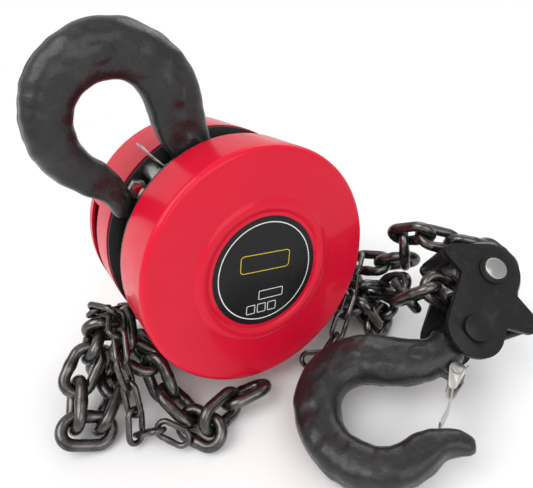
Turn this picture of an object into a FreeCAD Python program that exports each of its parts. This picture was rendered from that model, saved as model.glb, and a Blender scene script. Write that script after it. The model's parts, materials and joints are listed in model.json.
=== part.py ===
"""A five-tonne hand chain hoist as it lies on a floor: round head, two hooks, lower block and slack chain.

Lengths are millimetres. The head is built in its own frame: X along the body's axis towards the front
cover, Z towards the top hook's beam. The lower block is built with X from the hook's trunnion to the chain
sheave and Z across its plates. A hook is built with X along its shank, Y towards its throat and Z across.
Each group is then laid where it rests, and the whole is set with its bottom centre at the origin.
"""
import FreeCAD, Part
import math
import os

V = FreeCAD.Vector
O = V(0, 0, 0)
X = V(1, 0, 0)
Y = V(0, 1, 0)
Z = V(0, 0, 1)

# Load chain, hand chain and the clearances that pieces keep.
chain_wire = 10.0
chain_pitch = 30.0
chain_inside = 12.5
hand_wire = 5.0
hand_pitch = 23.5
hand_inside = 8.0
running = 0.05
clear = 0.3
side_play = 0.35
overrun = 2.0

# Head: covers and side plates.
cover_radius = 105.0
cover_wall = 2.5
cover_edge_round = 5.0
front_cover_depth = 49.3
rear_cover_depth = 67.2
plate_thick = 5.0
plate_rim_step = 1.0
frame_gap = 34.9
bead_outer = 64.0
bead_inner = 52.0
bead_height = 2.0
label_radius = 48.6
label_thick = 0.8
chain_slot_from_plate = 34.0
chain_slot_width = 20.1
chain_slot_top_angle = 74.0

# Head: load sheave, beam and what holds the frame together.
sheave_pockets = 4
sheave_core = 17.0
sheave_rim = 46.0
beam_height = 70.0
beam_radius = 17.0
beam_journal = 12.0
stay_radius = 7.0
stay_end_radius = 4.0
stay_inset = 10.5
stay_angles = (43.5, -86.0, 112.0, -112.0)
stud_radius = 4.0
stud_inset = 9.5
stud_angles = (55.0, 175.0, 295.0)
nut_across = 14.5
nut_height = 7.0
sheave_journal = 17.0
bearing_outer = 24.0
bearing_roller = 1.6
bearing_rollers = 16
sheave_bore = 9.5
shaft_radius = 8.5
guide_roller_radius = 8.5
guide_roller_pin = 4.0
guide_roller_drop = 16.0
stripper_thick = 9.0
stripper_width = 26.0
stripper_drop = 72.0
stripper_pin = 3.5
anchor_pin_radius = 5.0
anchor_pin_shares = (0.62, 0.46)

# Head: gear train in the front cover.
gear_centre_share = 0.5
pinion_teeth = 12
wheel_teeth = 58
small_teeth = 11
load_teeth = 31
addendum_share = 0.7
dedendum_share = 1.0
tooth_play = 0.16
pressure_angle = 20.0
load_gear_width = 14.0
wheel_gear_width = 8.0
gear_gap = 4.0
gear_plate_thick = 3.0
gear_plate_inset = 14.5
gear_post_radius = 6.0
gear_post_side = 25.0
gear_post_inset = 12.5
gear_journal = 8.0
bush_wall = 2.5
spigot_radius = 14.0
clip_wall = 3.0
clip_thick = 1.5

# Head: brake and hand wheel in the rear cover.
hub_radius = 50.0
hub_flange = 6.0
hub_sleeve = 15.0
hub_gap = 5.0
friction_thick = 3.0
friction_bore_play = 0.5
ratchet_thick = 6.0
ratchet_teeth = 18
ratchet_root = 53.0
ratchet_tip = 58.0
ratchet_play = 0.1
pawl_pin_radius = 4.0
pawl_pivot_radius = 74.0
pawl_pivot_angle = 20.0
pawl_reach_angle = 28.0
pawl_thick = 6.0
pawl_boss = 8.0
pawl_nose = 3.0
hand_wheel_pockets = 8
hand_wheel_rim = 67.0
hand_wheel_width = 19.0
hand_wheel_hub = 18.0
hand_wheel_web = 6.0
hand_wheel_web_radius = 44.0
hand_wheel_hub_length = 32.0
shaft_nut_across = 22.0
shaft_nut_height = 8.0

# Hooks: one forging shape serves the head and the lower block.
hook_shank = 9.5
hook_corner_power = 2.6
hook_nut_radius = 12.3
hook_nut_height = 7.5
hook_bore_depth = 8.0
hook_reach = 172.0
hook_station_shares = (
    (0.103, 0.000, 0, 0.203, 0.188), (0.233, -0.023, -20, 0.209, 0.169), (0.337, -0.099, -42, 0.250, 0.180),
    (0.410, -0.180, -46, 0.262, 0.192), (0.494, -0.256, -32, 0.259, 0.198), (0.605, -0.288, -5, 0.248, 0.198),
    (0.741, -0.258, 28, 0.238, 0.198), (0.849, -0.155, 57, 0.224, 0.198), (0.895, -0.003, 90, 0.210, 0.198),
    (0.855, 0.145, 121, 0.201, 0.192), (0.733, 0.252, 153, 0.180, 0.174), (0.600, 0.279, 172, 0.161, 0.158),
    (0.517, 0.302, 160, 0.128, 0.138), (0.448, 0.360, 136, 0.102, 0.109), (0.422, 0.398, 128, 0.047, 0.060))
latch_pivot_shares = (0.1977, 0.1308)
latch_pin_radius = 2.5
latch_boss_radius = 6.5
latch_boss_thick = 12.0
latch_plate = 1.6
latch_inside = 16.6
latch_length_share = 0.29
latch_tip_width = 15.0
spring_wire = 1.0

# Lower block.
block_gap = 44.0
block_plate_thick = 6.0
trunnion_radius = 11.5
trunnion_stand = 3.0
yoke_radius = 15.5
axle_distance = 60.0
axle_radius = 10.0
axle_stand = 5.0
axle_washer = 13.0
axle_washer_thick = 1.6
lower_lobe = 25.0
upper_lobe = 26.0
ear_radius = 9.0
block_sheave_links = 7
block_sheave_root = 15.5
block_sheave_rim = 30.0
block_sheave_groove = 17.0
bar_radius = 8.0
right_bar_radius = 5.0
right_ear_radius = 7.5
bar_end_share = 0.6
yoke_room = 19.5
left_bar = (60.0, 38.8)
right_bar = (25.7, -42.9)

# Chain play and the steering of its links.
link_play = 0.5
link_room = 0.4
bend_points = 9
straight_shares = (-0.5, 0.0, 0.5)
ball_steps = 3
corner_cuts = 2
route_step = 1.0
aim_share = 0.93
aim_rounds = 6
steer_angles = (0.0, 9.0, 18.0, 27.0, 36.0, 45.0)
steer_sides = 8
twist_angles = (0.0, 8.0, -8.0, 16.0, -16.0, 24.0, -24.0)
tilt_weight = 0.35
twist_weight = 0.02
anchor_lean = 40.0
block_entry_shares = (0.90, 1.86)
block_wrap_start = 5.0

# Falls in the head's frame, side and height, as shares of the cover's radius.
left_fall_shares = ((-0.33, -0.14), (-0.33, -0.57), (-0.35, -0.86), (-0.48, -1.03), (-0.71, -1.03))
right_fall_shares = ((0.34, -0.52), (0.37, -0.66), (0.42, -0.80), (0.57, -0.88), (0.80, -0.84))
anchor_fall_shares = ((0.80, -0.64), (0.98, -0.62), (1.22, -0.56))
hand_right_fall_shares = ((0.55, -0.05), (0.61, -0.32), (0.62, -0.57), (0.60, -0.82))
hand_left_fall_shares = ((-0.55, -0.05), (-0.61, -0.32), (-0.62, -0.57), (-0.60, -0.84))

# Routes over the floor, right, away and up, as shares of the cover's radius.
left_pile_shares = (
    (-1.20, 3.06, 0.19), (-1.33, 3.23, 0.15), (-1.52, 3.29, 0.15), (-1.61, 3.11, 0.15),
    (-1.46, 2.84, 0.15), (-1.32, 2.61, 0.15), (-1.30, 2.40, 0.15), (-1.34, 2.21, 0.15),
    (-1.48, 2.14, 0.15), (-1.60, 2.24, 0.17), (-1.53, 2.44, 0.32), (-1.50, 2.60, 0.42),
    (-1.55, 2.79, 0.44), (-1.50, 2.96, 0.46), (-1.34, 2.97, 0.48), (-1.18, 2.84, 0.48),
    (-1.05, 2.69, 0.42), (-0.90, 2.58, 0.29), (-0.76, 2.46, 0.17), (-0.62, 2.33, 0.13),
    (-0.49, 2.23, 0.13), (-0.36, 2.30, 0.13), (-0.31, 2.47, 0.13), (-0.15, 2.57, 0.13),
    (0.04, 2.61, 0.13), (0.14, 2.65, 0.13))
right_pile_shares = (
    (0.48, 3.83, 0.17), (0.76, 3.89, 0.15), (1.01, 3.85, 0.15), (1.22, 3.71, 0.15),
    (1.24, 3.47, 0.15), (1.01, 3.33, 0.17), (0.80, 3.45, 0.34), (0.88, 3.66, 0.44),
    (1.12, 3.68, 0.46), (1.30, 3.52, 0.51), (1.33, 3.33, 0.63), (1.39, 3.20, 0.76))
block_pile_shares = (
    (1.40, 3.70, 0.84), (1.31, 3.80, 0.66), (1.18, 3.90, 0.52), (1.04, 4.02, 0.44))
anchor_pile_shares = (
    (0.74, 4.01, 0.36), (0.86, 4.06, 0.36))
hand_right_pile_shares = (
    (-0.19, 4.15, 0.11), (0.08, 4.29, 0.10), (0.32, 4.36, 0.10), (0.59, 4.34, 0.13),
    (0.78, 4.26, 0.36), (0.92, 4.10, 0.68), (0.94, 3.86, 0.73), (0.86, 3.56, 0.70),
    (0.74, 3.24, 0.42), (0.62, 3.09, 0.13), (0.46, 3.04, 0.09), (0.26, 2.98, 0.09))
hand_left_pile_shares = (
    (-1.36, 3.52, 0.11), (-1.46, 3.42, 0.24), (-1.50, 3.18, 0.52), (-1.42, 2.93, 0.70),
    (-1.26, 2.73, 0.71), (-1.12, 2.51, 0.68), (-1.05, 2.33, 0.34), (-1.06, 2.19, 0.10),
    (-0.90, 2.08, 0.09), (-0.72, 2.14, 0.09), (-0.60, 2.26, 0.09))

# The way off the block's sheave over its bar, as shares of the axle's distance.
block_exit_shares = ((1.47, 0.40, 0.0), (1.42, 0.76, 0.0), (1.24, 1.06, 0.0))

# How the groups lie: heights come from the sizes, angles in degrees, places on the floor.
head_place = (-38.0, 362.0)
head_yaw = -58.0
head_pitch = -8.2
head_roll = -9.6
top_hook_swing = 65.9
block_place = (174.4, 297.5)
block_yaw = 61.2
block_pitch = -26.0
block_roll = 21.6
block_lift = 58.0
lower_hook_swing = 27.3
lower_hook_swivel = 29.6
top_latch_angle = -12.5
lower_latch_angle = 24.0

# Head stations along the body's axis, worked out from the sizes above.
frame_inner = frame_gap / 2
frame_outer = frame_inner + plate_thick
front_face = frame_outer + front_cover_depth
rear_face = -frame_outer - rear_cover_depth
gear_centre = gear_centre_share * cover_radius
first_module = 2 * gear_centre / (pinion_teeth + wheel_teeth)
second_module = 2 * gear_centre / (small_teeth + load_teeth)
stay_pitch_radius = cover_radius - stay_inset
stud_pitch_radius = cover_radius - stud_inset
gear_plate_radius = cover_radius - gear_plate_inset
gear_post_height = gear_plate_radius - gear_post_inset
anchor_pin_side, anchor_pin_drop = [share * cover_radius for share in anchor_pin_shares]
hook_start = hook_station_shares[0][0] * hook_reach
latch_pivot_along, latch_pivot_side = [share * hook_reach for share in latch_pivot_shares]
latch_length = latch_length_share * hook_reach
hub_start = -frame_outer - hub_gap
ratchet_start = hub_start - hub_flange - friction_thick
ratchet_end = ratchet_start - ratchet_thick - 2 * ratchet_play
wheel_start = ratchet_end - friction_thick
slot_middle = -frame_outer - chain_slot_from_plate - chain_slot_width / 2


def cylinder(radius, x0, x1, y=0.0, z=0.0):
    """A round bar along X from x0 to x1."""
    return Part.makeCylinder(radius, abs(x1 - x0), V(min(x0, x1), y, z), X)


def ring(outer, inner, x0, x1, y=0.0, z=0.0):
    """A tube along X from x0 to x1."""
    low, high = min(x0, x1) - overrun, max(x0, x1) + overrun
    return cylinder(outer, x0, x1, y, z).cut(cylinder(inner, low, high, y, z))


def polar(radius, angle):
    """The head's (y, z) at a radius and an angle in degrees from the top towards -Y."""
    return -radius * math.sin(math.radians(angle)), radius * math.cos(math.radians(angle))


def prism(points, vector):
    """A solid between a flat outline of points and its copy moved by the vector."""
    return Part.Face(Part.makePolygon(points + points[:1])).extrude(vector)


def hexagon(across, x0, x1, y, z):
    """A hexagonal nut blank along X."""
    corner = across / math.sqrt(3)
    points = []
    for step in range(6):
        angle = math.radians(60 * step)
        points.append(V(x0, y + corner * math.cos(angle), z + corner * math.sin(angle)))
    return prism(points, V(x1 - x0, 0, 0))


def nut(across, bore, x0, x1, y, z):
    """A hexagonal nut along X with its corners turned off."""
    blank = hexagon(across, x0, x1, y, z)
    turned = Part.makeCone(across * 0.5, across * 0.62, abs(x1 - x0) / 4, V(min(x0, x1), y, z), X)
    turned = turned.fuse(cylinder(across * 0.62, min(x0, x1) + abs(x1 - x0) / 4, max(x0, x1), y, z))
    return blank.common(turned).cut(cylinder(bore, min(x0, x1) - overrun, max(x0, x1) + overrun, y, z))


def revolved(profile):
    """A solid of revolution about X from a closed outline of (along, radius) corners."""
    points = [V(along, radius, 0) for along, radius in profile]
    return Part.Face(Part.makePolygon(points + points[:1])).revolve(O, X, 360)


def fused(shapes):
    """One solid from several that meet or cross."""
    whole = shapes[0]
    for shape in shapes[1:]:
        whole = whole.fuse(shape)
    return whole.removeSplitter()


def group(shapes):
    """Separate solids kept together as one set."""
    return Part.makeCompound(shapes)


def placed(shape, placement):
    """A copy of the shape carried by the placement."""
    copy = shape.copy()
    copy.Placement = placement.multiply(copy.Placement)
    return copy


def link(wire, pitch, inside):
    """One chain link about the origin, long along X and wide along Y, with round ends."""
    bend = (inside + wire) / 2
    reach = (pitch + wire) / 2 - bend
    section = Part.Face(Part.Wire(Part.makeCircle(wire / 2, V(-reach, bend, 0), X)))
    parts = [section.extrude(V(2 * reach, 0, 0))]
    parts.append(parts[0].mirror(O, Y))
    end = Part.Face(Part.Wire(Part.makeCircle(wire / 2, V(reach, bend, 0), X)))
    parts.append(end.revolve(V(reach, 0, 0), Z, -180))
    parts.append(parts[2].mirror(O, X))
    return fused(parts)


def axes_placement(origin, x_axis, y_axis):
    """A placement whose X and Y lie along the given directions, made square."""
    x_axis = V(x_axis).normalize()
    z_axis = x_axis.cross(y_axis).normalize()
    y_axis = z_axis.cross(x_axis)
    matrix = FreeCAD.Matrix(x_axis.x, y_axis.x, z_axis.x, origin.x, x_axis.y, y_axis.y, z_axis.y, origin.y,
                            x_axis.z, y_axis.z, z_axis.z, origin.z, 0, 0, 0, 1)
    return FreeCAD.Placement(matrix)


# Placements of the three groups.
rim_tilt = -math.radians(head_pitch)
head_height = cover_radius * math.cos(rim_tilt) - rear_face * math.sin(rim_tilt)
head = FreeCAD.Placement(V(head_place[0], head_place[1], head_height),
                         FreeCAD.Rotation(head_yaw, head_pitch, head_roll))
block = FreeCAD.Placement(V(block_place[0], block_place[1], block_lift),
                          FreeCAD.Rotation(block_yaw, block_pitch, block_roll))
top_hook_at = head.multiply(FreeCAD.Placement(V(0, 0, beam_height), FreeCAD.Rotation(X, top_hook_swing)))
top_hook_at = top_hook_at.multiply(axes_placement(O, Z, -Y))
lower_hook_at = block.multiply(FreeCAD.Placement(O, FreeCAD.Rotation(Z, 180 - lower_hook_swing)))
lower_hook_at = lower_hook_at.multiply(FreeCAD.Placement(O, FreeCAD.Rotation(X, lower_hook_swivel)))

load_chain = (chain_wire, chain_pitch, chain_inside)
hand_chain = (hand_wire, hand_pitch, hand_inside)
head_back = head.inverse()
block_back = block.inverse()
nodes = {}


def keep(name, shape, placement):
    """Store a node's shape, laid where it rests."""
    nodes[name] = placed(shape, placement)


# Side plates, covers and label of the head.
def side_plate(x0, x1):
    """A round side plate with its beam, bearing, stay, stud, guide and pin holes."""
    plate = cylinder(cover_radius - plate_rim_step, x0, x1)
    holes = [(bearing_outer, 0.0, 0.0), (beam_journal + running, 0.0, beam_height)]
    holes += [(stay_end_radius, *polar(stay_pitch_radius, angle)) for angle in stay_angles]
    holes += [(stud_radius + side_play, *polar(stud_pitch_radius, angle)) for angle in stud_angles]
    holes += [(guide_roller_pin, side * guide_side, -guide_roller_drop) for side in (-1, 1)]
    holes += [(stripper_pin, side * stripper_width / 4, -stripper_drop + stripper_pin * 2) for side in (-1, 1)]
    holes.append((anchor_pin_radius, anchor_pin_side, -anchor_pin_drop))
    return plate, holes


def drilled(plate, holes, x0, x1):
    """The plate less its round holes."""
    low, high = min(x0, x1) - overrun, max(x0, x1) + overrun
    for radius, y, z in holes:
        plate = plate.cut(cylinder(radius, low, high, y, z))
    return plate


def link_circle(links, wire, pitch):
    """The radius at which flat links sit on a wheel that a full turn of so many links would fill."""
    turn = 2 * math.pi / links
    reach = (pitch + wire) / 2
    return (reach * math.cos(turn) + reach - wire - link_play) / math.sin(turn)


def upright_circle(circle, links, wire, pitch):
    """The radius at which the upright links between those flat links run."""
    turn = 2 * math.pi / links
    return circle * math.cos(turn) + (pitch + wire) / 2 * math.sin(turn)


load_link_circle = link_circle(2 * sheave_pockets, chain_wire, chain_pitch)
hand_link_circle = link_circle(2 * hand_wheel_pockets, hand_wire, hand_pitch)
block_link_circle = link_circle(block_sheave_links, chain_wire, chain_pitch)
chain_outside = chain_inside + 2 * chain_wire
guide_side = load_link_circle + chain_outside / 2 + guide_roller_radius + 3 * clear


def bulged_cover(depth, face, towards, bead):
    """A deep drawn cover: a round cup with a rolled edge and, on its face, a raised bead."""
    open_end = face - towards * depth

    def cup(radius, top, rounding, end):
        middle = math.sqrt(0.5)
        corner = V(top - towards * rounding, radius - rounding, 0)
        outer = [V(end, 0, 0), V(end, radius, 0), V(top - towards * rounding, radius, 0)]
        knee = corner + V(towards * rounding * middle, rounding * middle, 0)
        flat = V(top, radius - rounding, 0)
        edges = [Part.LineSegment(outer[0], outer[1]).toShape(), Part.LineSegment(outer[1], outer[2]).toShape(),
                 Part.Arc(outer[2], knee, flat).toShape(), Part.LineSegment(flat, V(top, 0, 0)).toShape(),
                 Part.LineSegment(V(top, 0, 0), outer[0]).toShape()]
        return Part.Face(Part.Wire(edges)).revolve(O, X, 360)

    shell = cup(cover_radius, face, cover_edge_round, open_end)
    if bead:
        foot_in = V(face, bead_inner, 0)
        foot_out = V(face, bead_outer, 0)
        crown = V(face + towards * bead_height, (bead_inner + bead_outer) / 2, 0)
        seat = V(face - towards * cover_wall / 2, 0, 0)
        low_in = V(seat.x, bead_inner, 0)
        low_out = V(seat.x, bead_outer, 0)
        edges = [Part.Arc(foot_in, crown, foot_out).toShape(), Part.LineSegment(foot_out, low_out).toShape(),
                 Part.LineSegment(low_out, low_in).toShape(), Part.LineSegment(low_in, foot_in).toShape()]
        shell = shell.fuse(Part.Face(Part.Wire(edges)).revolve(O, X, 360))
        seat = cylinder(label_radius + clear, face - towards * label_thick, face + towards * overrun)
        shell = shell.cut(seat)
    hollow = cup(cover_radius - cover_wall, face - towards * cover_wall, cover_edge_round - cover_wall,
                 open_end - towards * overrun)
    return shell.cut(hollow).removeSplitter()


def build_frame():
    """Side plates, covers, label, stays, studs and their nuts."""
    front, holes = side_plate(frame_inner, frame_outer)
    gear_holes = [(gear_journal + bush_wall, side * gear_centre, 0.0) for side in (-1, 1)]
    gear_holes += [(stud_radius, side * gear_post_side, up * gear_post_height)
                   for side in (-1, 1) for up in (-1, 1)]
    keep("front_side_plate", drilled(front, holes + gear_holes, frame_inner, frame_outer), head)
    rear, holes = side_plate(-frame_outer, -frame_inner)
    pawl_holes = [(pawl_pin_radius, *polar(pawl_pivot_radius, pawl_pivot_angle + turn)) for turn in (0, 180)]
    keep("rear_side_plate", drilled(rear, holes + pawl_holes, -frame_outer, -frame_inner), head)

    keep("front_cover", bulged_cover(front_cover_depth, front_face, 1, True), head)
    rear_cover = bulged_cover(rear_cover_depth, rear_face, -1, False)
    slot_start = -frame_outer - chain_slot_from_plate
    low = slot_start - chain_slot_width
    outline = [V(low, 0, 0), V(slot_start, 0, 0), V(slot_start, cover_radius + overrun, 0),
               V(low, cover_radius + overrun, 0)]
    sector = Part.Face(Part.makePolygon(outline + outline[:1])).revolve(O, X, 360 - 2 * chain_slot_top_angle)
    sector.rotate(O, X, 90 + chain_slot_top_angle)
    keep("rear_cover", rear_cover.cut(sector), head)
    label_top = front_face - label_thick / 4
    keep("front_label", cylinder(label_radius, front_face - label_thick, label_top), head)

    stays = []
    stay_nuts = []
    for angle in stay_angles:
        y, z = polar(stay_pitch_radius, angle)
        body = cylinder(stay_radius, -frame_inner, frame_inner, y, z)
        ends = cylinder(stay_end_radius, -frame_outer - nut_height, frame_outer + nut_height, y, z)
        stays.append(fused([body, ends]))
        across = stay_end_radius * 3
        stay_nuts.append(nut(across, stay_end_radius, frame_outer, frame_outer + nut_height, y, z))
        stay_nuts.append(nut(across, stay_end_radius, -frame_outer - nut_height, -frame_outer, y, z))
    keep("frame_stays", group(stays), head)
    keep("frame_stay_nuts", group(stay_nuts), head)

    studs = []
    nuts = []
    for towards, face in ((1, front_face), (-1, rear_face)):
        for angle in stud_angles:
            y, z = polar(stud_pitch_radius, angle)
            tip = towards * (frame_inner - nut_height * 1.4)
            studs.append(cylinder(stud_radius, tip, face - towards * cover_wall, y, z))
            nuts.append(nut(nut_across, stud_radius, towards * (frame_inner - nut_height),
                            towards * frame_inner, y, z))
    keep("cover_studs", group(studs), head)
    keep("cover_nuts", group(nuts), head)


def gear(teeth, module, x0, x1, turn=0.0):
    """A spur gear along X with flanks from the involute of its base circle; a tooth points at turn degrees."""
    pitch_radius = module * teeth / 2
    base = pitch_radius * math.cos(math.radians(pressure_angle))
    tip = pitch_radius + addendum_share * module
    root = pitch_radius - dedendum_share * module
    slope = math.radians(pressure_angle)
    half_tooth = math.pi / (2 * teeth) - tooth_play * module / (2 * pitch_radius) + math.tan(slope) - slope
    start = max(root, base)
    flank = [] if start == root else [(root, half_tooth)]
    for step in (0, 1, 2):
        radius = start + (tip - start) * step / 2
        at = math.acos(min(1.0, base / radius))
        flank.append((radius, half_tooth - math.tan(at) + at))
    points = []
    for tooth in range(teeth):
        middle = math.radians(turn) + 2 * math.pi * tooth / teeth
        sides = [(radius, middle - angle) for radius, angle in flank]
        sides += [(radius, middle + angle) for radius, angle in reversed(flank)]
        points += [V(x0, radius * math.cos(angle), radius * math.sin(angle)) for radius, angle in sides]
    return prism(points, V(x1 - x0, 0, 0))


def pocketed(body, pockets, circle, wire, pitch, inside, middle):
    """The wheel body less a groove for standing links and a stadium pocket for each lying link."""
    outside = inside + 2 * wire
    floor = circle - wire / 2 - clear
    reach = (pitch + 2 * wire) / 2 + 2 * clear
    half = outside / 2 + clear
    length = cover_radius
    stadium = Part.makeBox(2 * half, 2 * (reach - half), length, V(middle - half, -(reach - half), floor))
    for side in (-1, 1):
        stadium = stadium.fuse(Part.makeCylinder(half, length, V(middle, side * (reach - half), floor), Z))
    for pocket in range(pockets):
        body = body.cut(stadium.rotated(O, X, 360 / pockets * pocket))
    return body


def grooved(rim, core, x0, x1, groove):
    """A flanged wheel blank along X with a square-bottomed groove for standing links."""
    middle = (x0 + x1) / 2
    blank = cylinder(rim, x0, x1)
    return blank.cut(ring(rim + overrun, core, middle - groove / 2, middle + groove / 2))


load_gear_start = frame_outer + hub_gap
wheel_gear_start = load_gear_start + load_gear_width + gear_gap
gear_plate_start = wheel_gear_start + wheel_gear_width + gear_gap
journal_end = load_gear_start + load_gear_width


def build_load_sheave():
    """The pocketed chain sheave with its journals, its gear and the clip that holds the gear."""
    half = frame_inner - side_play
    groove = chain_wire + 3 * side_play
    sheave = grooved(sheave_rim, sheave_core, -half, half, groove)
    sheave = pocketed(sheave, sheave_pockets, load_link_circle, chain_wire, chain_pitch, chain_inside, 0.0)
    journals = cylinder(sheave_journal, -frame_outer - hub_gap / 2, load_gear_start)
    spigot = cylinder(spigot_radius, 0, journal_end + 2 * clip_thick)
    sheave = fused([sheave, journals, spigot])
    sheave = sheave.cut(cylinder(shaft_radius + running, -cover_radius, cover_radius))
    sheave = sheave.cut(cylinder(sheave_bore, -frame_inner, frame_inner))
    sheave = sheave.cut(ring(spigot_radius + overrun, spigot_radius - clip_wall / 2,
                             journal_end, journal_end + clip_thick))
    keep("load_sheave", sheave, head)
    blank = gear(load_teeth, second_module, load_gear_start, journal_end)
    keep("load_gear", blank.cut(cylinder(spigot_radius, 0, cover_radius)), head)
    clip = ring(spigot_radius + clip_wall / 2, spigot_radius - clip_wall / 2,
                journal_end, journal_end + clip_thick)
    mouth = Part.makeBox(cover_radius, clip_wall * 2, cover_radius, V(0, -clip_wall, 0))
    keep("load_gear_clip", clip.cut(mouth), head)

    for name, towards in (("front", 1), ("rear", -1)):
        inner = towards * frame_inner
        outer = towards * frame_outer
        race_inside = sheave_journal + 2 * bearing_roller + 2 * running
        parts = [ring(bearing_outer, race_inside, inner, outer)]
        for step in range(bearing_rollers):
            y, z = polar(sheave_journal + bearing_roller + running, 360 / bearing_rollers * step)
            parts.append(cylinder(bearing_roller, inner + towards * clear, outer - towards * clear, y, z))
        keep(name + "_sheave_bearing", group(parts), head)


def mesh_turn(teeth, place):
    """The turn, in degrees, that faces a tooth space of a gear at an angle towards the place angle."""
    return place + 180 / teeth


def build_gear_train():
    """Drive shaft with its pinion, two intermediate gears, their bushes, and the outer plate on its posts."""
    pinion_end = wheel_gear_start + wheel_gear_width + gear_gap / 2
    shaft_end = wheel_start - hand_wheel_hub_length - shaft_nut_height - 2 * clear
    shaft = cylinder(shaft_radius, shaft_end, wheel_gear_start - clear)
    pinion = gear(pinion_teeth, first_module, wheel_gear_start - clear, pinion_end)
    stub = cylinder(shaft_radius * 0.7, pinion_end, gear_plate_start + gear_plate_thick)
    keep("drive_shaft", fused([shaft, pinion, stub]), head)

    bushes = []
    for name, side in (("left", -1), ("right", 1)):
        place = 90 - 90 * side
        wheel_turn = mesh_turn(wheel_teeth, place + 180 - pinion_shift(pinion_teeth, wheel_teeth, place))
        small_turn = mesh_turn(small_teeth, place + 180 - pinion_shift(load_teeth, small_teeth, place))
        wheel = gear(wheel_teeth, first_module, wheel_gear_start, wheel_gear_start + wheel_gear_width, wheel_turn)
        small = gear(small_teeth, second_module, load_gear_start - gear_gap / 2, wheel_gear_start, small_turn)
        journal = cylinder(gear_journal, frame_inner, gear_plate_start + gear_plate_thick)
        whole = fused([wheel, small, journal])
        whole.translate(V(0, side * gear_centre, 0))
        keep(name + "_disc_gear", whole, head)
        for x0, x1 in ((frame_inner, frame_outer), (gear_plate_start, gear_plate_start + gear_plate_thick)):
            bush = ring(gear_journal + bush_wall, gear_journal + running, x0, x1, side * gear_centre)
            bushes.append(bush)
    keep("gear_shaft_bushes", group(bushes), head)

    plate = cylinder(gear_plate_radius, gear_plate_start, gear_plate_start + gear_plate_thick)
    holes = [(gear_journal + bush_wall, side * gear_centre, 0.0) for side in (-1, 1)]
    holes.append((shaft_radius * 0.7 + running, 0.0, 0.0))
    posts = []
    for side in (-1, 1):
        for up in (-1, 1):
            y, z = side * gear_post_side, up * gear_post_height
            holes.append((stud_radius, y, z))
            body = cylinder(gear_post_radius, frame_outer, gear_plate_start, y, z)
            ends = cylinder(stud_radius, frame_inner, gear_plate_start + 2 * gear_plate_thick, y, z)
            posts.append(fused([body, ends]))
    keep("gear_plate", drilled(plate, holes, gear_plate_start, gear_plate_start + gear_plate_thick), head)
    keep("gear_plate_posts", group(posts), head)


def pinion_shift(driver_teeth, driven_teeth, place):
    """How far, in degrees of the driven gear, the driver's nearest tooth stands from the line of centres."""
    step = 360 / driver_teeth
    off = (place + step / 2) % step - step / 2
    return off * driver_teeth / driven_teeth


def build_brake():
    """Screwed hub, friction discs, ratchet disc, pawls on their pins with leaf springs, hand wheel and nut."""
    flange = cylinder(hub_radius, hub_start - hub_flange, hub_start)
    sleeve = cylinder(hub_sleeve, wheel_start, hub_start)
    hub = fused([flange, sleeve]).cut(cylinder(shaft_radius, -cover_radius, 0))
    keep("brake_hub", hub, head)
    friction = []
    for x1 in (hub_start - hub_flange, ratchet_end):
        disc = ring(hub_radius, hub_sleeve + friction_bore_play, x1 - friction_thick, x1)
        friction.append(disc)
    keep("friction_discs", group(friction), head)

    pivot_angle = 90 + pawl_pivot_angle
    nose_angle = pivot_angle - pawl_reach_angle
    x1 = ratchet_start - ratchet_play
    points = []
    for tooth in range(ratchet_teeth):
        step_angle = math.radians(nose_angle + 360 / ratchet_teeth * tooth)
        for radius in (ratchet_tip, ratchet_root):
            points.append(V(x1, radius * math.cos(step_angle), radius * math.sin(step_angle)))
    ratchet = prism(points, V(-ratchet_thick, 0, 0)).cut(cylinder(hub_sleeve + running, -cover_radius, 0))
    keep("ratchet_disc", ratchet, head)

    pins = []
    springs = []
    for name, turn in (("upper", 0), ("lower", 180)):
        y, z = polar(pawl_pivot_radius, pawl_pivot_angle + turn)
        pivot = V(0, y, z)
        nose_radius = ratchet_root + pawl_nose * 1.25
        along = (pawl_nose * 0.75 + 2 * clear) / nose_radius
        angle = math.radians(nose_angle + turn) + along
        nose = V(0, nose_radius * math.cos(angle), nose_radius * math.sin(angle))
        arm = capsule(nose, pawl_nose * 0.75, pivot, pawl_boss, X).extrude(V(-pawl_thick, 0, 0))
        arm.translate(V(x1, 0, 0))
        keep(name + "_pawl", arm.cut(cylinder(pawl_pin_radius + running, -cover_radius, 0, y, z)), head)
        head_end = x1 - pawl_thick - 2 * clear
        pin = cylinder(pawl_pin_radius, head_end - gear_plate_thick / 2, -frame_inner, y, z)
        collar = ring(pawl_boss * 0.8, pawl_pin_radius, x1 + clear, -frame_outer, y, z)
        head_disc = cylinder(pawl_boss * 0.8, head_end - gear_plate_thick / 2, head_end, y, z)
        pins.append(fused([pin, collar, head_disc]))
        springs.append(leaf_spring(pivot, nose, x1))
    keep("pawl_pins", group(pins), head)
    keep("pawl_springs", group(springs), head)

    middle = slot_middle
    half = hand_wheel_width / 2
    boss_end = wheel_start - hand_wheel_hub_length
    dish_floor = middle - half + hand_wheel_web
    profile = [(boss_end, shaft_radius), (boss_end, hand_wheel_hub), (dish_floor, hand_wheel_hub),
               (dish_floor, hand_wheel_web_radius), (middle - half, hand_wheel_web_radius),
               (middle - half, hand_wheel_rim), (middle + half, hand_wheel_rim),
               (middle + half, hand_wheel_web_radius), (wheel_start - hub_flange, hub_radius),
               (wheel_start, hub_radius), (wheel_start, shaft_radius)]
    groove = hand_link_circle - hand_inside / 2 - hand_wire - 2 * clear
    groove_half = (hand_wire + 3 * side_play) / 2
    rim_groove = ring(hand_wheel_rim + overrun, groove, middle - groove_half, middle + groove_half)
    wheel = revolved(profile).cut(rim_groove)
    wheel = pocketed(wheel, hand_wheel_pockets, hand_link_circle, hand_wire, hand_pitch, hand_inside, middle)
    keep("hand_wheel", wheel, head)
    keep("hand_wheel_nut", nut(shaft_nut_across, shaft_radius, boss_end - shaft_nut_height, boss_end, 0, 0), head)


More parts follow.
